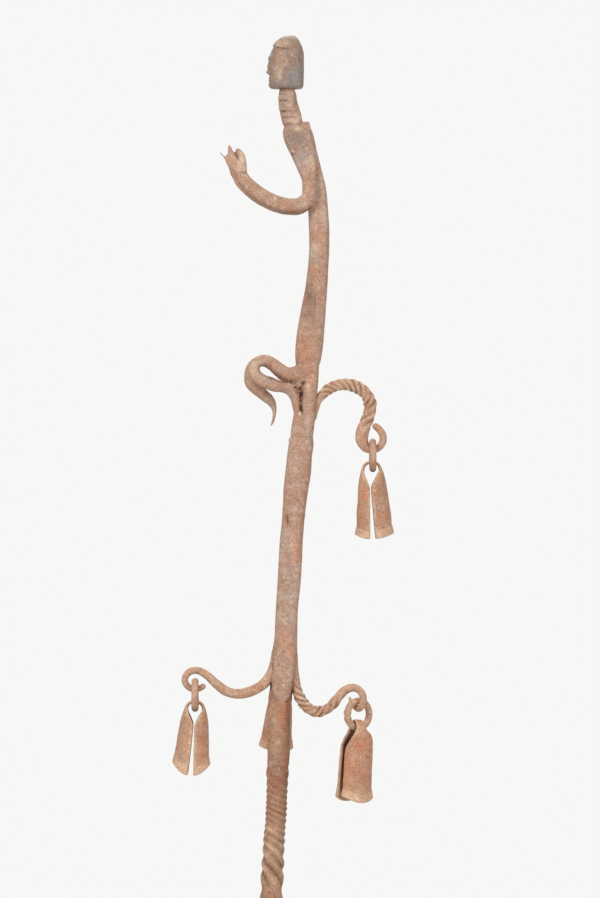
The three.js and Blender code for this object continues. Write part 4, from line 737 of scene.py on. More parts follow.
ringRadius = 8.05 * mm
ringWire = 4.1 * mm
hookTip = 0.25
eyeHalfWidth = 0.32
hooks = {
    "upper_hook": {
        "root": collar + np.array([0.039, 0, 0.062]) * torso["reach"], "reach": 41.4 * mm,
        "girth": 6.6 * mm, "play": 2.34 * mm, "eyeAt": np.array([0.857, 0, -0.293]), "eyeTurns": 4.3,
        "rope": 0.85, "twist": 0.72, "meets": ["torso", "upper_shaft"],
        "stem": [
            [0.01, 0, 0, 0.15, 0.23, 0.3], [0.036, 0, 0.123, 0.24, 0.29, 0.3],
            [0.071, 0, 0.238, 0.27, 0.3, 0.3], [0.129, 0, 0.328, 0.35, 0.36, 0.5, 0.15],
            [0.204, 0, 0.406, 0.45, 0.45, 0.8, 0.5], [0.294, 0, 0.455, 0.48, 0.48, 0.9, 0.9],
            [0.406, 0, 0.484, 0.49, 0.49, 0.9, 1.35], [0.525, 0, 0.481, 0.5, 0.5, 0.9, 1.8],
            [0.633, 0, 0.446, 0.5, 0.5, 0.9, 2.2], [0.726, 0, 0.386, 0.5, 0.5, 0.85, 2.6],
            [0.793, 0, 0.299, 0.51, 0.51, 0.7, 3], [0.823, 0, 0.197, 0.52, 0.52, 0.5, 3.35],
            [0.816, 0, 0.096, 0.52, 0.52, 0.4, 3.65], [0.786, 0, -0.006, 0.5, 0.5, 0.4, 3.95],
            [0.742, 0, -0.11, 0.52, 0.5, 0.4, 4.2],
        ],
        "eye": [
            [-0.951, 0, 0.443, 0.55, 0.48, 0.3], [-0.96, 0, -0.222, 0.53, 0.45, 0.2],
            [-0.591, 0, -0.849, 0.41, 0.36, 0.1], [0.018, 0, -1.071, 0.32, 0.32],
            [0.582, 0, -0.868, 0.32, 0.32], [0.932, 0, -0.369, 0.33, 0.32], [0.96, 0, 0.203, 0.33, 0.32],
            [0.702, 0, 0.702, 0.32, 0.32], [0.369, 0, 1.034, 0.3, 0.3], [0.037, -0.062, 1.218, 0.28, 0.28],
        ],
    },
    "left_hook": {
        "root": split + np.array([-0.02, 0, 0.171]) * upperShaft["reach"], "reach": 54 * mm,
        "girth": 6.2 * mm, "play": 1.57 * mm, "eyeAt": np.array([-0.876, 0, -0.278]), "eyeTurns": 0,
        "rope": 0, "twist": 1, "meets": ["upper_shaft", "lower_shaft"],
        "stem": [
            [0.064, 0, 0.233, 0.12, 0.42, 0.3], [0.036, 0, 0.1, 0.27, 0.5, 0.3],
            [0.013, 0, -0.011, 0.38, 0.55, 0.3], [-0.004, 0, -0.111, 0.44, 0.58, 0.3],
            [-0.044, 0, -0.222, 0.48, 0.55, 0.2], [-0.116, 0, -0.318, 0.5, 0.52, 0.1],
            [-0.244, 0, -0.397, 0.5, 0.5], [-0.389, 0, -0.431, 0.49, 0.49], [-0.527, 0, -0.402, 0.47, 0.47],
            [-0.644, 0, -0.318, 0.44, 0.44], [-0.733, 0, -0.233, 0.4, 0.4],
        ],
        "eye": [
            [0.686, 0, 0.879, 0.37, 0.37], [0.021, 0, 1.05, 0.35, 0.35], [-0.6, 0, 0.889, 0.34, 0.34],
            [-1.018, 0, 0.45, 0.32, 0.32], [-1.114, 0, -0.107, 0.31, 0.31], [-0.814, 0, -0.643, 0.31, 0.31],
            [-0.3, 0, -0.921, 0.31, 0.31], [0.257, 0, -0.932, 0.3, 0.3], [0.707, 0, -0.761, 0.29, 0.29],
            [1.029, 0, -0.461, 0.28, 0.28],
        ],
    },
    "right_hook": {
        "root": split + np.array([0.056, 0, 0.171]) * upperShaft["reach"], "reach": 41.4 * mm,
        "girth": 6.2 * mm, "play": 1.77 * mm, "eyeAt": np.array([0.919, 0, -0.629]), "eyeTurns": -2.94,
        "rope": 0.9, "twist": 0.8, "meets": ["upper_shaft", "lower_shaft"],
        "stem": [
            [-0.035, 0, 0.217, 0.24, 0.48, 0.3], [-0.02, 0, 0, 0.42, 0.55, 0.3],
            [-0.006, 0, -0.188, 0.45, 0.53, 0.4], [0.014, 0, -0.362, 0.44, 0.48, 0.6, -0.1],
            [0.046, 0, -0.516, 0.45, 0.47, 0.85, -0.49], [0.101, 0, -0.643, 0.47, 0.47, 0.9, -0.88],
            [0.18, 0, -0.745, 0.48, 0.48, 0.9, -1.29], [0.275, 0, -0.809, 0.48, 0.48, 0.9, -1.68],
            [0.386, 0, -0.814, 0.47, 0.47, 0.9, -2.06], [0.487, 0, -0.774, 0.44, 0.44, 0.9, -2.38],
            [0.565, 0, -0.707, 0.42, 0.42, 0.85, -2.62], [0.632, 0, -0.623, 0.4, 0.4, 0.75, -2.8],
            [0.699, 0, -0.545, 0.4, 0.4, 0.55, -2.91], [0.771, -0.007, -0.491, 0.39, 0.39, 0.3, -2.94],
        ],
        "eye": [
            [-0.476, -0.207, 1.138, 0.37, 0.37, 0.1], [0.062, -0.552, 0.983, 0.36, 0.36],
            [0.455, -0.897, 0.538, 0.35, 0.35], [0.6, -1.069, -0.041, 0.34, 0.34],
            [0.517, -0.931, -0.579, 0.33, 0.33], [0.269, -0.534, -0.962, 0.32, 0.32],
            [0, -0.034, -1.024, 0.31, 0.31], [-0.228, 0.379, -0.848, 0.3, 0.3],
            [-0.352, 0.621, -0.579, 0.28, 0.28],
        ],
    },
    "back_hook": {
        "root": split + np.array([0.018, 0, 0.183]) * upperShaft["reach"], "reach": 46 * mm,
        "girth": 6.2 * mm, "play": 1.57 * mm, "eyeAt": np.array([-0.047, 0.978, -0.209]), "eyeTurns": 0,
        "rope": 0, "twist": 1, "meets": ["upper_shaft", "lower_shaft"],
        "stem": [
            [0.005, 0.113, 0.13, 0.35, 0.26, 0.2], [0.004, 0.13, 0, 0.47, 0.39, 0.2],
            [0.004, 0.174, -0.157, 0.48, 0.48, 0.1], [0.008, 0.257, -0.287, 0.48, 0.48],
            [0.021, 0.383, -0.383, 0.47, 0.47], [0.047, 0.535, -0.417, 0.45, 0.45],
            [0.083, 0.683, -0.37, 0.42, 0.42], [0.104, 0.809, -0.266, 0.39, 0.39],
        ],
        "eye": [
            [1.136, -0.607, 0.429, 0.35, 0.35], [0.686, -0.143, 1.05, 0.34, 0.34],
            [0.071, 0, 1.25, 0.33, 0.33], [-0.5, 0.036, 0.986, 0.32, 0.32], [-0.736, 0.036, 0.33, 0.32, 0.32],
            [-0.786, 0.018, -0.35, 0.31, 0.31], [-0.536, 0, -0.9, 0.31, 0.31], [0.021, 0, -1.061, 0.31, 0.31],
            [0.579, 0, -0.911, 0.29, 0.29], [0.921, 0, -0.514, 0.27, 0.27],
        ],
    },
}

# The line of a bar from its form. Rows of stations that leave out their squareness get the form's.
def lineOf(form, origin):
    return barLine(lay(form["stations"], origin, form["reach"], form["girth"], form.get("square", 0)))

# All the bars' lines come first, because each weld looks at its neighbour's line.
for row in lowerShaft["stations"][lowerShaft["rusted"]]:
    row[0] += lowerShaft["rustShift"]
    row[3] += lowerShaft["rustSwell"][0]
    row[4] += lowerShaft["rustSwell"][1]
    row[5] *= lowerShaft["rustFill"]
lines = {
    "lower_shaft": barLine(np.vstack([
        lay(lowerShaft["tangStations"], ground, lowerShaft["tang"], lowerShaft["girth"],
            lowerShaft["tangSquare"]),
        lay(lowerShaft["stations"], ground, lowerShaft["reach"], lowerShaft["girth"]),
    ])),
    "upper_shaft": lineOf(upperShaft, split), "torso": lineOf(torso, collar), "neck": lineOf(neck, neckFoot),
}
for limb, joint in ((arms, shoulder), (legs, hip)):
    for name, bar in limb["bars"].items():
        lines[name] = lineOf({**limb, "stations": bar}, joint)
for name, hook in hooks.items():
    eyeRadius = ringWire / 2 + hook["play"] + hook["girth"] * eyeHalfWidth
    eyeCentre = hook["root"] + hook["eyeAt"] * hook["reach"]
    line = np.vstack([
        lay(hook["stem"], hook["root"], hook["reach"], hook["girth"]),
        lay(hook["eye"], eyeCentre, eyeRadius, hook["girth"], turns=hook["eyeTurns"]),
    ])
    lines[name] = barLine(line * [1, 1, 1, 1, 1, 1, hook["twist"]])
print("lines laid:", len(lines))

def shaftPieces():
    shaftHooks = ["left_hook", "right_hook", "back_hook"]
    piece = closedBar("lowerShaft", *barSkin(lines["lower_shaft"], columns=100, rope=0.45))
    forge(piece, ["lower_shaft"], "staff", skins["earthy_iron"], shaftHooks,
          dents=0.28, seed=3, **lowerShaft["spots"])
    rounding = dict(startRound=upperShaft["tongueRound"], endRound=upperShaft["topRound"])
    piece = closedBar("upperShaft", *barSkin(lines["upper_shaft"], columns=104, **rounding))
    forge(piece, ["upper_shaft"], "staff", skins["iron"], [*shaftHooks, "upper_hook"],
          dents=0.36, seed=7, **upperShaft["spots"])

def figurePieces():
    tip, nail = arms["girth"] * arms["tip"], arms["girth"] * arms["nail"]
    rounding = {"arm": dict(startRound=tip, endRound=tip), "thumb": dict(endRound=nail)}
    joined = ["torso", *legs["bars"], *arms["bars"]]
    parts = []
    for name in joined:
        rounded = rounding.get(name.split("_")[0], {})
        parts.append(closedBar(name, *barSkin(lines[name], columns=64, **rounded)))
    parts += [closedBar("crumb", *crumbSkin(*crumb)) for crumb in figure["crumbs"]]
    piece = fuse("figure", parts, figure["voxel"], joined)
    forge(piece, ["torso", "arm_left", "arm_right", "leg_left", "leg_right"], "staff", skins["iron"],
          ["neck", "upper_hook"], dents=0.3, seed=11, **figure["spots"])
    piece = closedBar("figureNeck", *barSkin(lines["neck"], step=0.25 * mm, columns=96))
    forge(piece, ["neck"], "staff", skins["iron"], ["torso"], dents=0.45, seed=13, **neck["spots"])

def hookPieces():
    for seed, (name, hook) in enumerate(hooks.items(), 31):
        skin = barSkin(lines[name], step=0.3 * mm, rope=hook["rope"], endRound=hook["girth"] * hookTip)
        piece = closedBar(name.replace("_h", "H"), *skin)
        forge(piece, [name], "staff", skins["dusty_iron"], hook["meets"], dents=0.26, seed=3 * seed)

# Head

head = {
    "height": 31.8 * mm, "length": 21.6 * mm, "width": 19.4 * mm, "squareness": 2.5,
    "rows": 190, "columns": 240, "maskLimit": 0.03, "maskGain": 2.2,
    # the underside bends in from the jaw, from and to these shares of its reach
    "underRows": 14, "underRise": 0.006, "underReach": (0.04, 0.97), "underBend": 6,
    # height, reach forward, reach back and half width, as shares of the head's height, length and width
    "outline": [
        [0, 0.4, 0.47, 0.4], [0.04, 0.43, 0.51, 0.44], [0.1, 0.44, 0.52, 0.46], [0.2, 0.43, 0.525, 0.48],
        [0.32, 0.44, 0.53, 0.49], [0.45, 0.45, 0.53, 0.5], [0.56, 0.45, 0.53, 0.5],
        [0.66, 0.405, 0.525, 0.485], [0.76, 0.34, 0.49, 0.44], [0.85, 0.26, 0.435, 0.37],
        [0.92, 0.16, 0.38, 0.28], [0.97, 0.06, 0.315, 0.18], [0.995, -0.06, 0.27, 0.08],
        [1, -0.13, 0.21, 0.03],
    ],
    # towards the front in radians, its spread, height and its spread as shares, and how far it stands out
    "face": [
        [0, 0.16, 0.4, 0.085, 0.045],   # bridge of the nose
        [0, 0.2, 0.305, 0.035, 0.075],  # tip of the nose
        [0, 0.55, 0.575, 0.03, 0.028],  # brow
        [0, 0.3, 0.197, 0.016, 0.028],  # lips, with the line between them
        [0, 0.26, 0.153, 0.016, 0.026],
        [0, 0.32, 0.176, 0.006, -0.022],
        [0, 0.3, 0.06, 0.04, 0.02],     # chin
    ],
    # the same for what stands on both sides
    "pairs": [
        [0.2, 0.1, 0.29, 0.022, 0.03],     # wings of the nose
        [0.48, 0.2, 0.49, 0.04, -0.03],    # eye sockets
        [0.46, 0.13, 0.485, 0.02, 0.03],   # closed lids with their edges
        [0.46, 0.16, 0.462, 0.005, -0.012],
        [0.46, 0.17, 0.512, 0.005, -0.01],
        [0.75, 0.25, 0.33, 0.07, 0.012],   # cheeks
        [1.55, 0.13, 0.44, 0.095, 0.045],  # ears
        [1.5, 0.06, 0.45, 0.05, -0.03],
    ],
    # the cap's rim: its height, how far it stands out, the width of its edge and the groove under it
    "capLine": 0.745, "capReach": 0.045, "capEdge": 0.008, "capGroove": 0.018, "grooveDrop": 0.018,
    "grooveWidth": 0.012, "fullWidth": 0.4,
    # how the rim rises over the brow, falls to the back and ends behind the ears, in radians round the head
    "capRise": 0.05, "riseEnd": 1.6, "capFall": 0.012, "capEnd": 1.65, "capEndWidth": 0.1,
    # a fold in the cap with a lip over it; where it lies and how far it runs are in radians
    "fold": {"level": 0.825, "tilt": -0.2, "depth": 0.034, "width": 0.014, "towards": 1.3, "run": 0.42},
    "lip": 0.8, "lipAt": 2.1,
    "spots": {
        "cool": [(15, -8, 601, 4, 6, 0.9), (20, -6, 606, 4, 12, 0.7), (6, -9, 599, 5, 3, 0.7)],
        "pale": [(7, -9, 606, 2.5, 5, 0.7), (3, -8, 600, 2, 3, 0.4), (9, -7, 621.5, 4, 1.6, 0.9)],
        "rusty": [(9, -9, 611, 3, 5, 0.4)],
    },
}

# How far the face and the cap stand out, as shares of the head's length.
def headLift(height, side, angle):
    lift = np.zeros(np.broadcast_shapes(height.shape, angle.shape))
    pairs = [[way * row[0], *row[1:]] for row in head["pairs"] for way in (1, -1)]
    for towards, spread, level, band, reach in head["face"] + pairs:
        off = wrapped(angle - towards)
        lift += reach * np.exp(-((off / spread) ** 2) - ((height - level) / band) ** 2)
    turned = np.abs(wrapped(angle))
    capLine = head["capLine"] + head["capRise"] * np.cos(angle) * (turned < head["riseEnd"])
    capLine = capLine - head["capFall"] * turned
    ahead = softStep((turned - head["capEnd"]) / head["capEndWidth"])
    rim = (side / head["fullWidth"]).clip(0, 1) * ahead * softStep((capLine - height) / head["capEdge"])
    lift += head["capReach"] * rim
    under = (height - capLine + head["grooveDrop"]) / head["grooveWidth"]
    lift -= head["capGroove"] * ahead * hump(under)
    fold = head["fold"]
    aside = turned - fold["towards"]
    above = (height - fold["level"] - fold["tilt"] * aside) / fold["width"]
    crease = head["lip"] * hump(above + head["lipAt"]) - hump(above)
    return lift + fold["depth"] * crease * hump(aside / fold["run"])

# The head in rings: each ring is a blunt oval, and the face and cap lift it along its own direction.
def headPiece():
    table = np.array(head["outline"])
    outline = smoothLine(table, np.linspace(0, len(table) - 1, head["rows"]))
    inward = np.linspace(*head["underReach"], head["underRows"])[:, None]
    under = np.hstack([-head["underRise"] * (1 - inward ** head["underBend"]), inward * outline[0, 1:]])
    outline = np.vstack([under, outline])
    height, front, back, side = (outline[:, k:k + 1] for k in range(4))
    angle = fullTurn(head["columns"])[None, :]
    blunt = lambda v: np.sign(v) * np.abs(v) ** (2 / head["squareness"])
    lift = headLift(height, side, angle)
    x = (back - front) / 2 - blunt(np.cos(angle)) * (back + front) / 2 - lift * np.cos(angle)
    y = blunt(np.sin(angle)) * side * head["width"] + lift * np.sin(angle) * head["length"]
    z = np.broadcast_to(height * head["height"], x.shape)
    grid = np.stack([x * head["length"], y, z], axis=-1) + headFoot
    # The ridge mask paints highlight and dust on what stands out of the face and cap, and shade and dirt in
    # the sockets, the lip line and the groove under the rim.
    ridge = lift.clip(-head["maskLimit"], head["maskLimit"]) * head["maskGain"]
    piece = closedBar("figureHead", grid, ridge)
    forge(piece, ["head"], "staff", skins["worn_iron"], ["neck"],
          dents=0.2, seed=41, weld=0.15, **head["spots"])

# Rings and bells

# Each ring's turn and tilt in degrees, and where its wire's ends meet, in radians, with the depth there
rings = {
    "upper": {"turn": 0, "tilt": 0, "butt": 2.2, "buttDepth": 0.12},
    "left": {"turn": 0, "tilt": 0, "butt": 2.2, "buttDepth": 0.1},
    "right": {"turn": -55, "tilt": -3.6, "butt": 4.64, "buttDepth": 0.2},
    "back": {"turn": 0, "tilt": 0, "butt": 4.1, "buttDepth": 0.12},
}
ringForm = {
    "rows": 190, "columns": 48, "groove": 0.55 * mm, "lump": 0.7, "lumpAt": 1.7 * mm, "lumpWidth": mm,
    "dirtAndShade": 1.2, "dirtAndShadeWidth": 0.4 * mm, "voxel": 0.22 * mm,
}
spurStations = [
    [0, -0.6, 0.76, 0.32, 0.32], [0, -0.67, 0.95, 0.27, 0.27], [0, -0.74, 1.14, 0.22, 0.22],
    [0, -0.8, 1.32, 0.15, 0.15],
]

def turnedAbout(points, axis, degrees):
    c, s = math.cos(math.radians(degrees)), math.sin(math.radians(degrees))
    first, second = {"x": (1, 2), "y": (2, 0), "z": (0, 1)}[axis]
    spin = np.eye(3)
    spin[first, first] = spin[second, second] = c
    spin[second, first], spin[first, second] = s, -s
    return points @ spin.T

# A ring of round wire in the YZ plane: (R + r cos b)(sin a, cos a) in the plane, and r sin b across it.
# Where its ends meet, a narrow groove lies between two low lumps.
def ringPiece(name, seed):
    ring = rings[name]
    a = fullTurn(ringForm["rows"])[:, None]
    b = fullTurn(ringForm["columns"])[None, :]
    butt = np.abs(wrapped(a - ring["butt"])) * ringRadius
    lumps = ringForm["lump"] * hump((butt - ringForm["lumpAt"]) / ringForm["lumpWidth"])
    wire = ringWire / 2 * (1 + ring["buttDepth"] * (lumps - hump(butt / ringForm["groove"])))
    reach = ringRadius + wire * np.cos(b)
    grid = np.stack([wire * np.sin(b) + 0 * a, reach * np.sin(a), reach * np.cos(a)], axis=-1)
    quads, triangles = gridFaces(ringForm["rows"], ringForm["columns"], loop=True)
    # The groove where the wire's ends meet is darkened: dirt and painted shade in the crease.
    groove = -ringForm["dirtAndShade"] * ring["buttDepth"] * hump(butt / ringForm["dirtAndShadeWidth"]) + 0 * b
    x, y, _ = joints[name + "_ring_swing"]
    low = joints[name + "_bell_swing"][2]
    centre = np.array([x, y, low + ringRadius * math.cos(math.radians(ring["tilt"]))])
    put = lambda local: turnedAbout(local, "z", ring["turn"]) + centre
    points = put(grid.reshape(-1, 3))
    piece = makeObject(name + "Ring", points, quads[:, ::-1], triangles, {"ridge": groove.ravel()})
    if name == "right":
        line = barLine(lay(spurStations, ground, ringRadius, ringWire))
        spurGrid, spurRidge = barSkin(line, step=0.25 * mm, columns=32)
        spur = closedBar("spur", put(spurGrid), spurRidge)
        piece = fuse("rightRing", [piece, spur], ringForm["voxel"])
    forge(piece, [name + "_link"], name + "_ring", skins["dusty_iron"], dents=0.18, seed=seed)

bellForm = {
    "sheet": 1.8 * mm, "neckStrip": 5.3 * mm, "hangPlay": 0.6 * mm, "rows": 250, "columns": 96,
    # hammer blows: how deep, their sizes and weights, and their share at the top and at the mouth
    "dent": 0.9 * mm, "blows": [(9 * mm, 0.5), (4.5 * mm, 0.22)], "dentShare": (0.15, 0.8),
    "slitWaver": 0.22 * mm, "waverLength": 6 * mm, "wingsApart": 9,
    "hem": 5.2 * mm, "hemStep": 0.36 * mm, "hemWaver": 0.35 * mm, "hemEdge": 0.12 * mm,
    # how much the ridge mask gains at the rims, a painted highlight, and on the hem, and loses along its line
    # and on the inside, where it paints shade
    "rimHighlight": 0.22, "rimHighlightWidth": 0.9 * mm, "hemMask": 0.13, "hemLine": 0.07,
    "hemLineWidth": 0.3 * mm, "insideShade": 0.12,
    # down the bell, half width, step to the mouth's width, step to the full depth, and closing of the wing
    "outline": [
        [0, 0, 0, 0, 0], [0.012, 0.36, 0, 0, 0], [0.042, 0.63, 0, 0.03, 0.02], [0.09, 0.8, 0, 0.08, 0.1],
        [0.145, 0.89, 0.03, 0.28, 0.32], [0.2, 0.95, 0.1, 0.58, 0.56], [0.27, 0.98, 0.21, 0.84, 0.82],
        [0.35, 1, 0.32, 0.92, 1], [0.48, 1, 0.44, 0.94, 1], [0.62, 1, 0.55, 0.96, 1],
        [0.76, 1, 0.66, 0.98, 1], [0.87, 1, 0.77, 1, 1], [0.94, 1, 0.89, 1.03, 1], [1, 1, 1, 1.07, 1],
    ],
}
# What most bells share. The drop lowers the middle of the mouth, and the slit runs from top to mouth.
plainBell = {
    "shift": 0, "skew": 0, "yaw": 0, "slitTop": 0.6 * mm, "slitMouth": 3.2 * mm, "slitAside": 0,
}
bells = {
    "upper": {
        **plainBell, "height": 44.4 * mm, "shoulder": 15 * mm, "mouth": 23.2 * mm, "depth": 19 * mm,
        "drop": 2.4 * mm, "shift": -0.7 * mm, "slitMouth": 3.4 * mm, "slitAside": -1.2 * mm, "lean": -2.6,
        "rusty": [(57, -8, 352, 3, 9, 0.5), (70, -9, 338, 4, 6, 0.3)],
        "pale": [(63, -4, 365, 6, 3, 0.4), (62, -9, 326, 12, 3, 0.3)],
    },
    "left": {
        **plainBell, "height": 38.4 * mm, "shoulder": 14.6 * mm, "mouth": 22.8 * mm, "depth": 18 * mm,
        "drop": 6.2 * mm, "lean": 3.7,
        "rusty": [(-38, -9, 196, 3, 8, 0.6), (-49, -9, 203, 3, 6, 0.35)],
        "pale": [(-43, -4, 222, 6, 3, 0.4), (-50, -9, 189, 5, 3, 0.7), (-38, -9, 187, 5, 3, 0.6)],
    },
    "right": {
        **plainBell, "height": 49.4 * mm, "shoulder": 14.2 * mm, "mouth": 22.4 * mm, "depth": 19.4 * mm,
        "drop": -3 * mm, "skew": -5 * mm, "slitTop": 4 * mm, "slitMouth": 5.6 * mm, "lean": 0, "yaw": -8,
        "rusty": [(47, -9, 188, 3, 14, 0.7), (55, -9, 192, 5, 14, 0.4), (46.5, -9, 178, 2, 9, 0.7)],
        "pale": [(55, -6, 211, 6, 3, 0.5), (52, -9, 166, 8, 3, 0.3), (52, -10, 174, 5, 5, 0.45)],
    },
    "back": {
        **plainBell, "height": 38.6 * mm, "shoulder": 12.6 * mm, "mouth": 21 * mm, "depth": 18 * mm,
        "drop": 1.4 * mm, "lean": 5.5,
        "rusty": [(4, 45, 200, 6, 10, 0.4)], "pale": [(4, 40, 190, 12, 3, 0.4)],
    },
}

def normalsOf(grid):
    normal = np.cross(np.gradient(grid, axis=0), np.gradient(grid, axis=1))
    return normal / np.linalg.norm(normal, axis=-1, keepdims=True).clip(1e-12)

# The middle of a bell's sheet, a strip folded over a ring: down the strip it follows the outline, and
# across it each wing bends round to the slits, x - closing * (1 - cos a) and y = reach * sin a. A skew
# raises one upper edge of a wing over the other. The waver of its edges is given along with it.
def foldedSheet(bell, seed):
    sheet, neckHalf = bellForm["sheet"], bellForm["neckStrip"] / 2
    table = np.array(bellForm["outline"], float)
    half = table[:, 1] * (bell["shoulder"] - sheet) / 2 + table[:, 2] * (bell["mouth"] - bell["shoulder"]) / 2
    sag = ringRadius - math.sqrt(ringRadius**2 - neckHalf**2)
    crest = ringWire / 2 + bellForm["hangPlay"] + sag + sheet / 2
    fall = crest - table[:, 0] * (bell["height"] - sheet / 2)
    wing = lambda way: np.column_stack([way * half, fall, table[:, 3:], table[:, 0]])
    both = np.vstack([wing(-1)[:0:-1], wing(1)])
    u = (0.5 - 0.5 * np.cos(np.linspace(0, math.pi, bellForm["rows"]))) * (len(both) - 1)
    strip = smoothLine(both, u)
    spineX, spineZ, reach, closing, down = (strip[:, k:k + 1] for k in range(5))
    angle = -np.cos(np.linspace(0, math.pi, bellForm["columns"]))[None, :] * math.pi / 2
    apart = np.sign(spineX) * bellForm["wingsApart"]
    waver = pebble(np.column_stack([apart, spineZ / bellForm["waverLength"], 0 * spineX]), 1, seed)[:, None]
    slit = bell["slitTop"] / 2 + (bell["slitMouth"] - bell["slitTop"]) / 2 * down**2
    slit = slit + bellForm["slitWaver"] * waver * down.clip(0, 1) + np.sign(spineX) * bell["slitAside"]
    bend = (closing * (np.abs(spineX) - slit)).clip(0) * (1 - np.cos(angle))
    drop = bell["drop"] * np.sin(angle) ** 2 * down**2
    middle = np.stack([
        spineX - np.sign(spineX) * bend,
        (neckHalf + ((bell["depth"] - sheet) / 2 - neckHalf) * reach) * np.sin(angle),
        spineZ - drop - bell["skew"] * np.sin(angle) * reach * (1 - down) ** 2,
    ], axis=-1)
    flat = middle.reshape(-1, 3)
    blows = enumerate(bellForm["blows"], 1)
    dents = sum(pebble(flat, size, seed + place) * weight for place, (size, weight) in blows)
    dents = dents.reshape(middle.shape[:2]) * bellForm["dent"] * down.clip(*bellForm["dentShare"])
    return middle + normalsOf(middle) * dents[:, :, None], waver

# How far each point of a grid lies from the nearer of its two ends, along one way of the grid.
def toEnds(grid, axis):
    steps = np.linalg.norm(np.diff(grid, axis=axis), axis=-1)
    before = [(1, 0) if axis == k else (0, 0) for k in (0, 1)]
    run = np.cumsum(np.pad(steps, before), axis=axis)
    return np.minimum(run, run.take([-1], axis=axis) - run)

# A bell. Its sheet's two faces lie half its thickness out along the normal, which shrinks to nothing in
# a quarter round at the rims. A hem a little thicker runs along the mouth.
def bellPiece(name, seed):
    bell, sheet = bells[name], bellForm["sheet"]
    middle, waver = foldedSheet(bell, seed)
    normal = normalsOf(middle)
    toMouth = toEnds(middle, 0)
    nearest = np.minimum(toMouth, toEnds(middle, 1))
    rim = np.sqrt(1 - (1 - (nearest / (sheet / 2)).clip(0, 1)) ** 2)
    pastHem = toMouth - bellForm["hem"] - bellForm["hemWaver"] * waver
    hem = softStep(pastHem / bellForm["hemEdge"])
    outer = middle + normal * ((sheet / 2 + bellForm["hemStep"] * hem) * rim)[:, :, None]
    inner = middle - normal * (sheet / 2 * rim)[:, :, None]
    rows, columns = middle.shape[:2]
    front = np.arange(rows * columns).reshape(rows, columns)
    behind = front.copy()
    behind[1:-1, 1:-1] = rows * columns + np.arange((rows - 2) * (columns - 2)).reshape(rows - 2, columns - 2)
    corners = lambda index: (index[:-1, :-1], index[1:, :-1], index[1:, 1:], index[:-1, 1:])
    quadsOf = lambda index: np.stack(corners(index), axis=-1).reshape(-1, 4)
    quads = np.vstack([quadsOf(front), quadsOf(behind)[:, ::-1]])
    # A painted highlight along the rims, and painted shade over the whole inner face.
    edge = bellForm["rimHighlight"] * np.exp(-nearest / bellForm["rimHighlightWidth"]) + bellForm["hemMask"] * hem
    edge -= bellForm["hemLine"] * hump(pastHem / bellForm["hemLineWidth"])
    ridge = np.concatenate([edge.ravel(), (edge - bellForm["insideShade"])[1:-1, 1:-1].ravel()])
    points = np.vstack([outer.reshape(-1, 3), inner[1:-1, 1:-1].reshape(-1, 3)]) + [bell["shift"], 0, 0]
    ring = rings[name]
    for axis, degrees in (("y", bell["lean"]), ("z", bell["yaw"]), ("x", ring["tilt"]), ("z", ring["turn"])):
        points = turnedAbout(points, axis, degrees)
    points += joints[name + "_bell_swing"]
    piece = makeObject(name + "Bell", points, quads, np.empty((0, 3), int), {"ridge": ridge})
    forge(piece, [name + "_bell"], name + "_chime", skins["rusty_sheet"], dents=0.1, seed=seed + 3,
          rusty=bell["rusty"], pale=bell["pale"])

shaftPieces()
figurePieces()
headPiece()
print("staff and figure made")
hookPieces()
for place, name in enumerate(rings):
    ringPiece(name, 243 + 3 * place)
    bellPiece(name, 51 + 6 * place)
print("hooks, rings and bells made")

# Studio

studio = {
    "floorRadius": 0.42, "floorLevel": -0.1302, "floorSides": 128,
    "floorTone": (0.8, 0.79, 0.77, 1), "floorRoughness": 0.9,
    # colour and strength
    "sky": ((1, 0.99, 0.97, 1), 0.55), "backdrop": ((0.93, 0.93, 0.925, 1), 1.0),
    "aim": Vector((19.8 * mm, 0, 379.4 * mm)), "distance": 2.5, "view": 538.8 * mm, "sensor": 36,
    # place, size, watts and colour
    "lamps": {
        "key": ((-0.9, -1.5, 1.5), 1.0, 26, (1, 0.98, 0.95)),
        "fill": ((1.3, -1.3, 0.5), 1.2, 9, (0.97, 0.98, 1)),
        "top": ((0.1, 0.9, 1.6), 0.9, 9, (1, 1, 1)),
    },
}

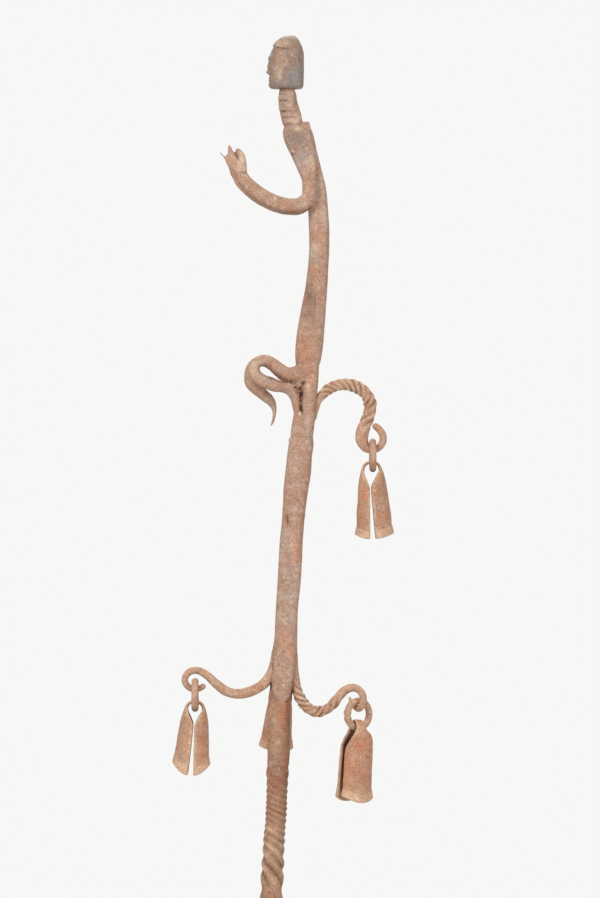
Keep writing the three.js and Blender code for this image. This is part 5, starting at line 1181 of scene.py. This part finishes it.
def makeFloor():
    sides = studio["floorSides"]
    angle = fullTurn(sides)
    rim = np.column_stack([np.cos(angle), np.sin(angle), 0 * angle]) * studio["floorRadius"]
    points = np.vstack([rim, [[0, 0, 0]]]) + [0, 0, studio["floorLevel"]]
    around = np.arange(sides)
    triangles = np.column_stack([around, np.roll(around, -1), np.full(sides, sides)])
    floor = makeObject("floor", points, np.empty((0, 4), int), triangles)
    paint = bpy.data.materials.new("floor")
    paint.use_nodes = True
    shader = paint.node_tree.nodes["Principled BSDF"]
    shader.inputs["Base Color"].default_value = studio["floorTone"]
    shader.inputs["Roughness"].default_value = studio["floorRoughness"]
    floor.data.materials.append(paint)

# The lens sees the pale backdrop, and the part is lit by a softer sky.
def makeWorld():
    world = bpy.data.worlds.new("studio")
    bpy.context.scene.world = world
    world.use_nodes = True
    tree = world.node_tree
    tree.nodes.clear()
    path = newNode(tree, "ShaderNodeLightPath").outputs
    seen = mathNode(tree, "MAXIMUM", path["Is Camera Ray"], path["Is Glossy Ray"])
    seen = mathNode(tree, "MAXIMUM", seen, path["Is Transmission Ray"])
    mix = {0: seen}
    for place, (colour, strength) in enumerate((studio["sky"], studio["backdrop"]), 1):
        light = newNode(tree, "ShaderNodeBackground", {"Color": colour, "Strength": strength})
        mix[place] = light.outputs[0]
    both = newNode(tree, "ShaderNodeMixShader", mix)
    newNode(tree, "ShaderNodeOutputWorld", {"Surface": both.outputs[0]})

def makeLampsAndCamera():
    for name, (place, size, watts, colour) in studio["lamps"].items():
        lamp = bpy.data.lights.new(name, "AREA")
        lamp.size, lamp.energy, lamp.color = size, watts, colour
        holder = bpy.data.objects.new(name, lamp)
        holder.location = place
        holder.rotation_euler = (studio["aim"] - Vector(place)).to_track_quat("-Z", "Y").to_euler()
        bpy.context.collection.objects.link(holder)
    lens = bpy.data.cameras.new("camera")
    lens.sensor_width = studio["sensor"]
    lens.lens = studio["sensor"] * studio["distance"] / studio["view"]
    camera = bpy.data.objects.new("camera", lens)
    camera.location = studio["aim"] - Vector((0, studio["distance"], 0))
    camera.rotation_euler = (math.pi / 2, 0, 0)
    bpy.context.collection.objects.link(camera)
    bpy.context.scene.camera = camera
    bpy.context.scene.view_settings.view_transform = "Standard"

makeFloor()
makeWorld()
makeLampsAndCamera()
print("studio set")
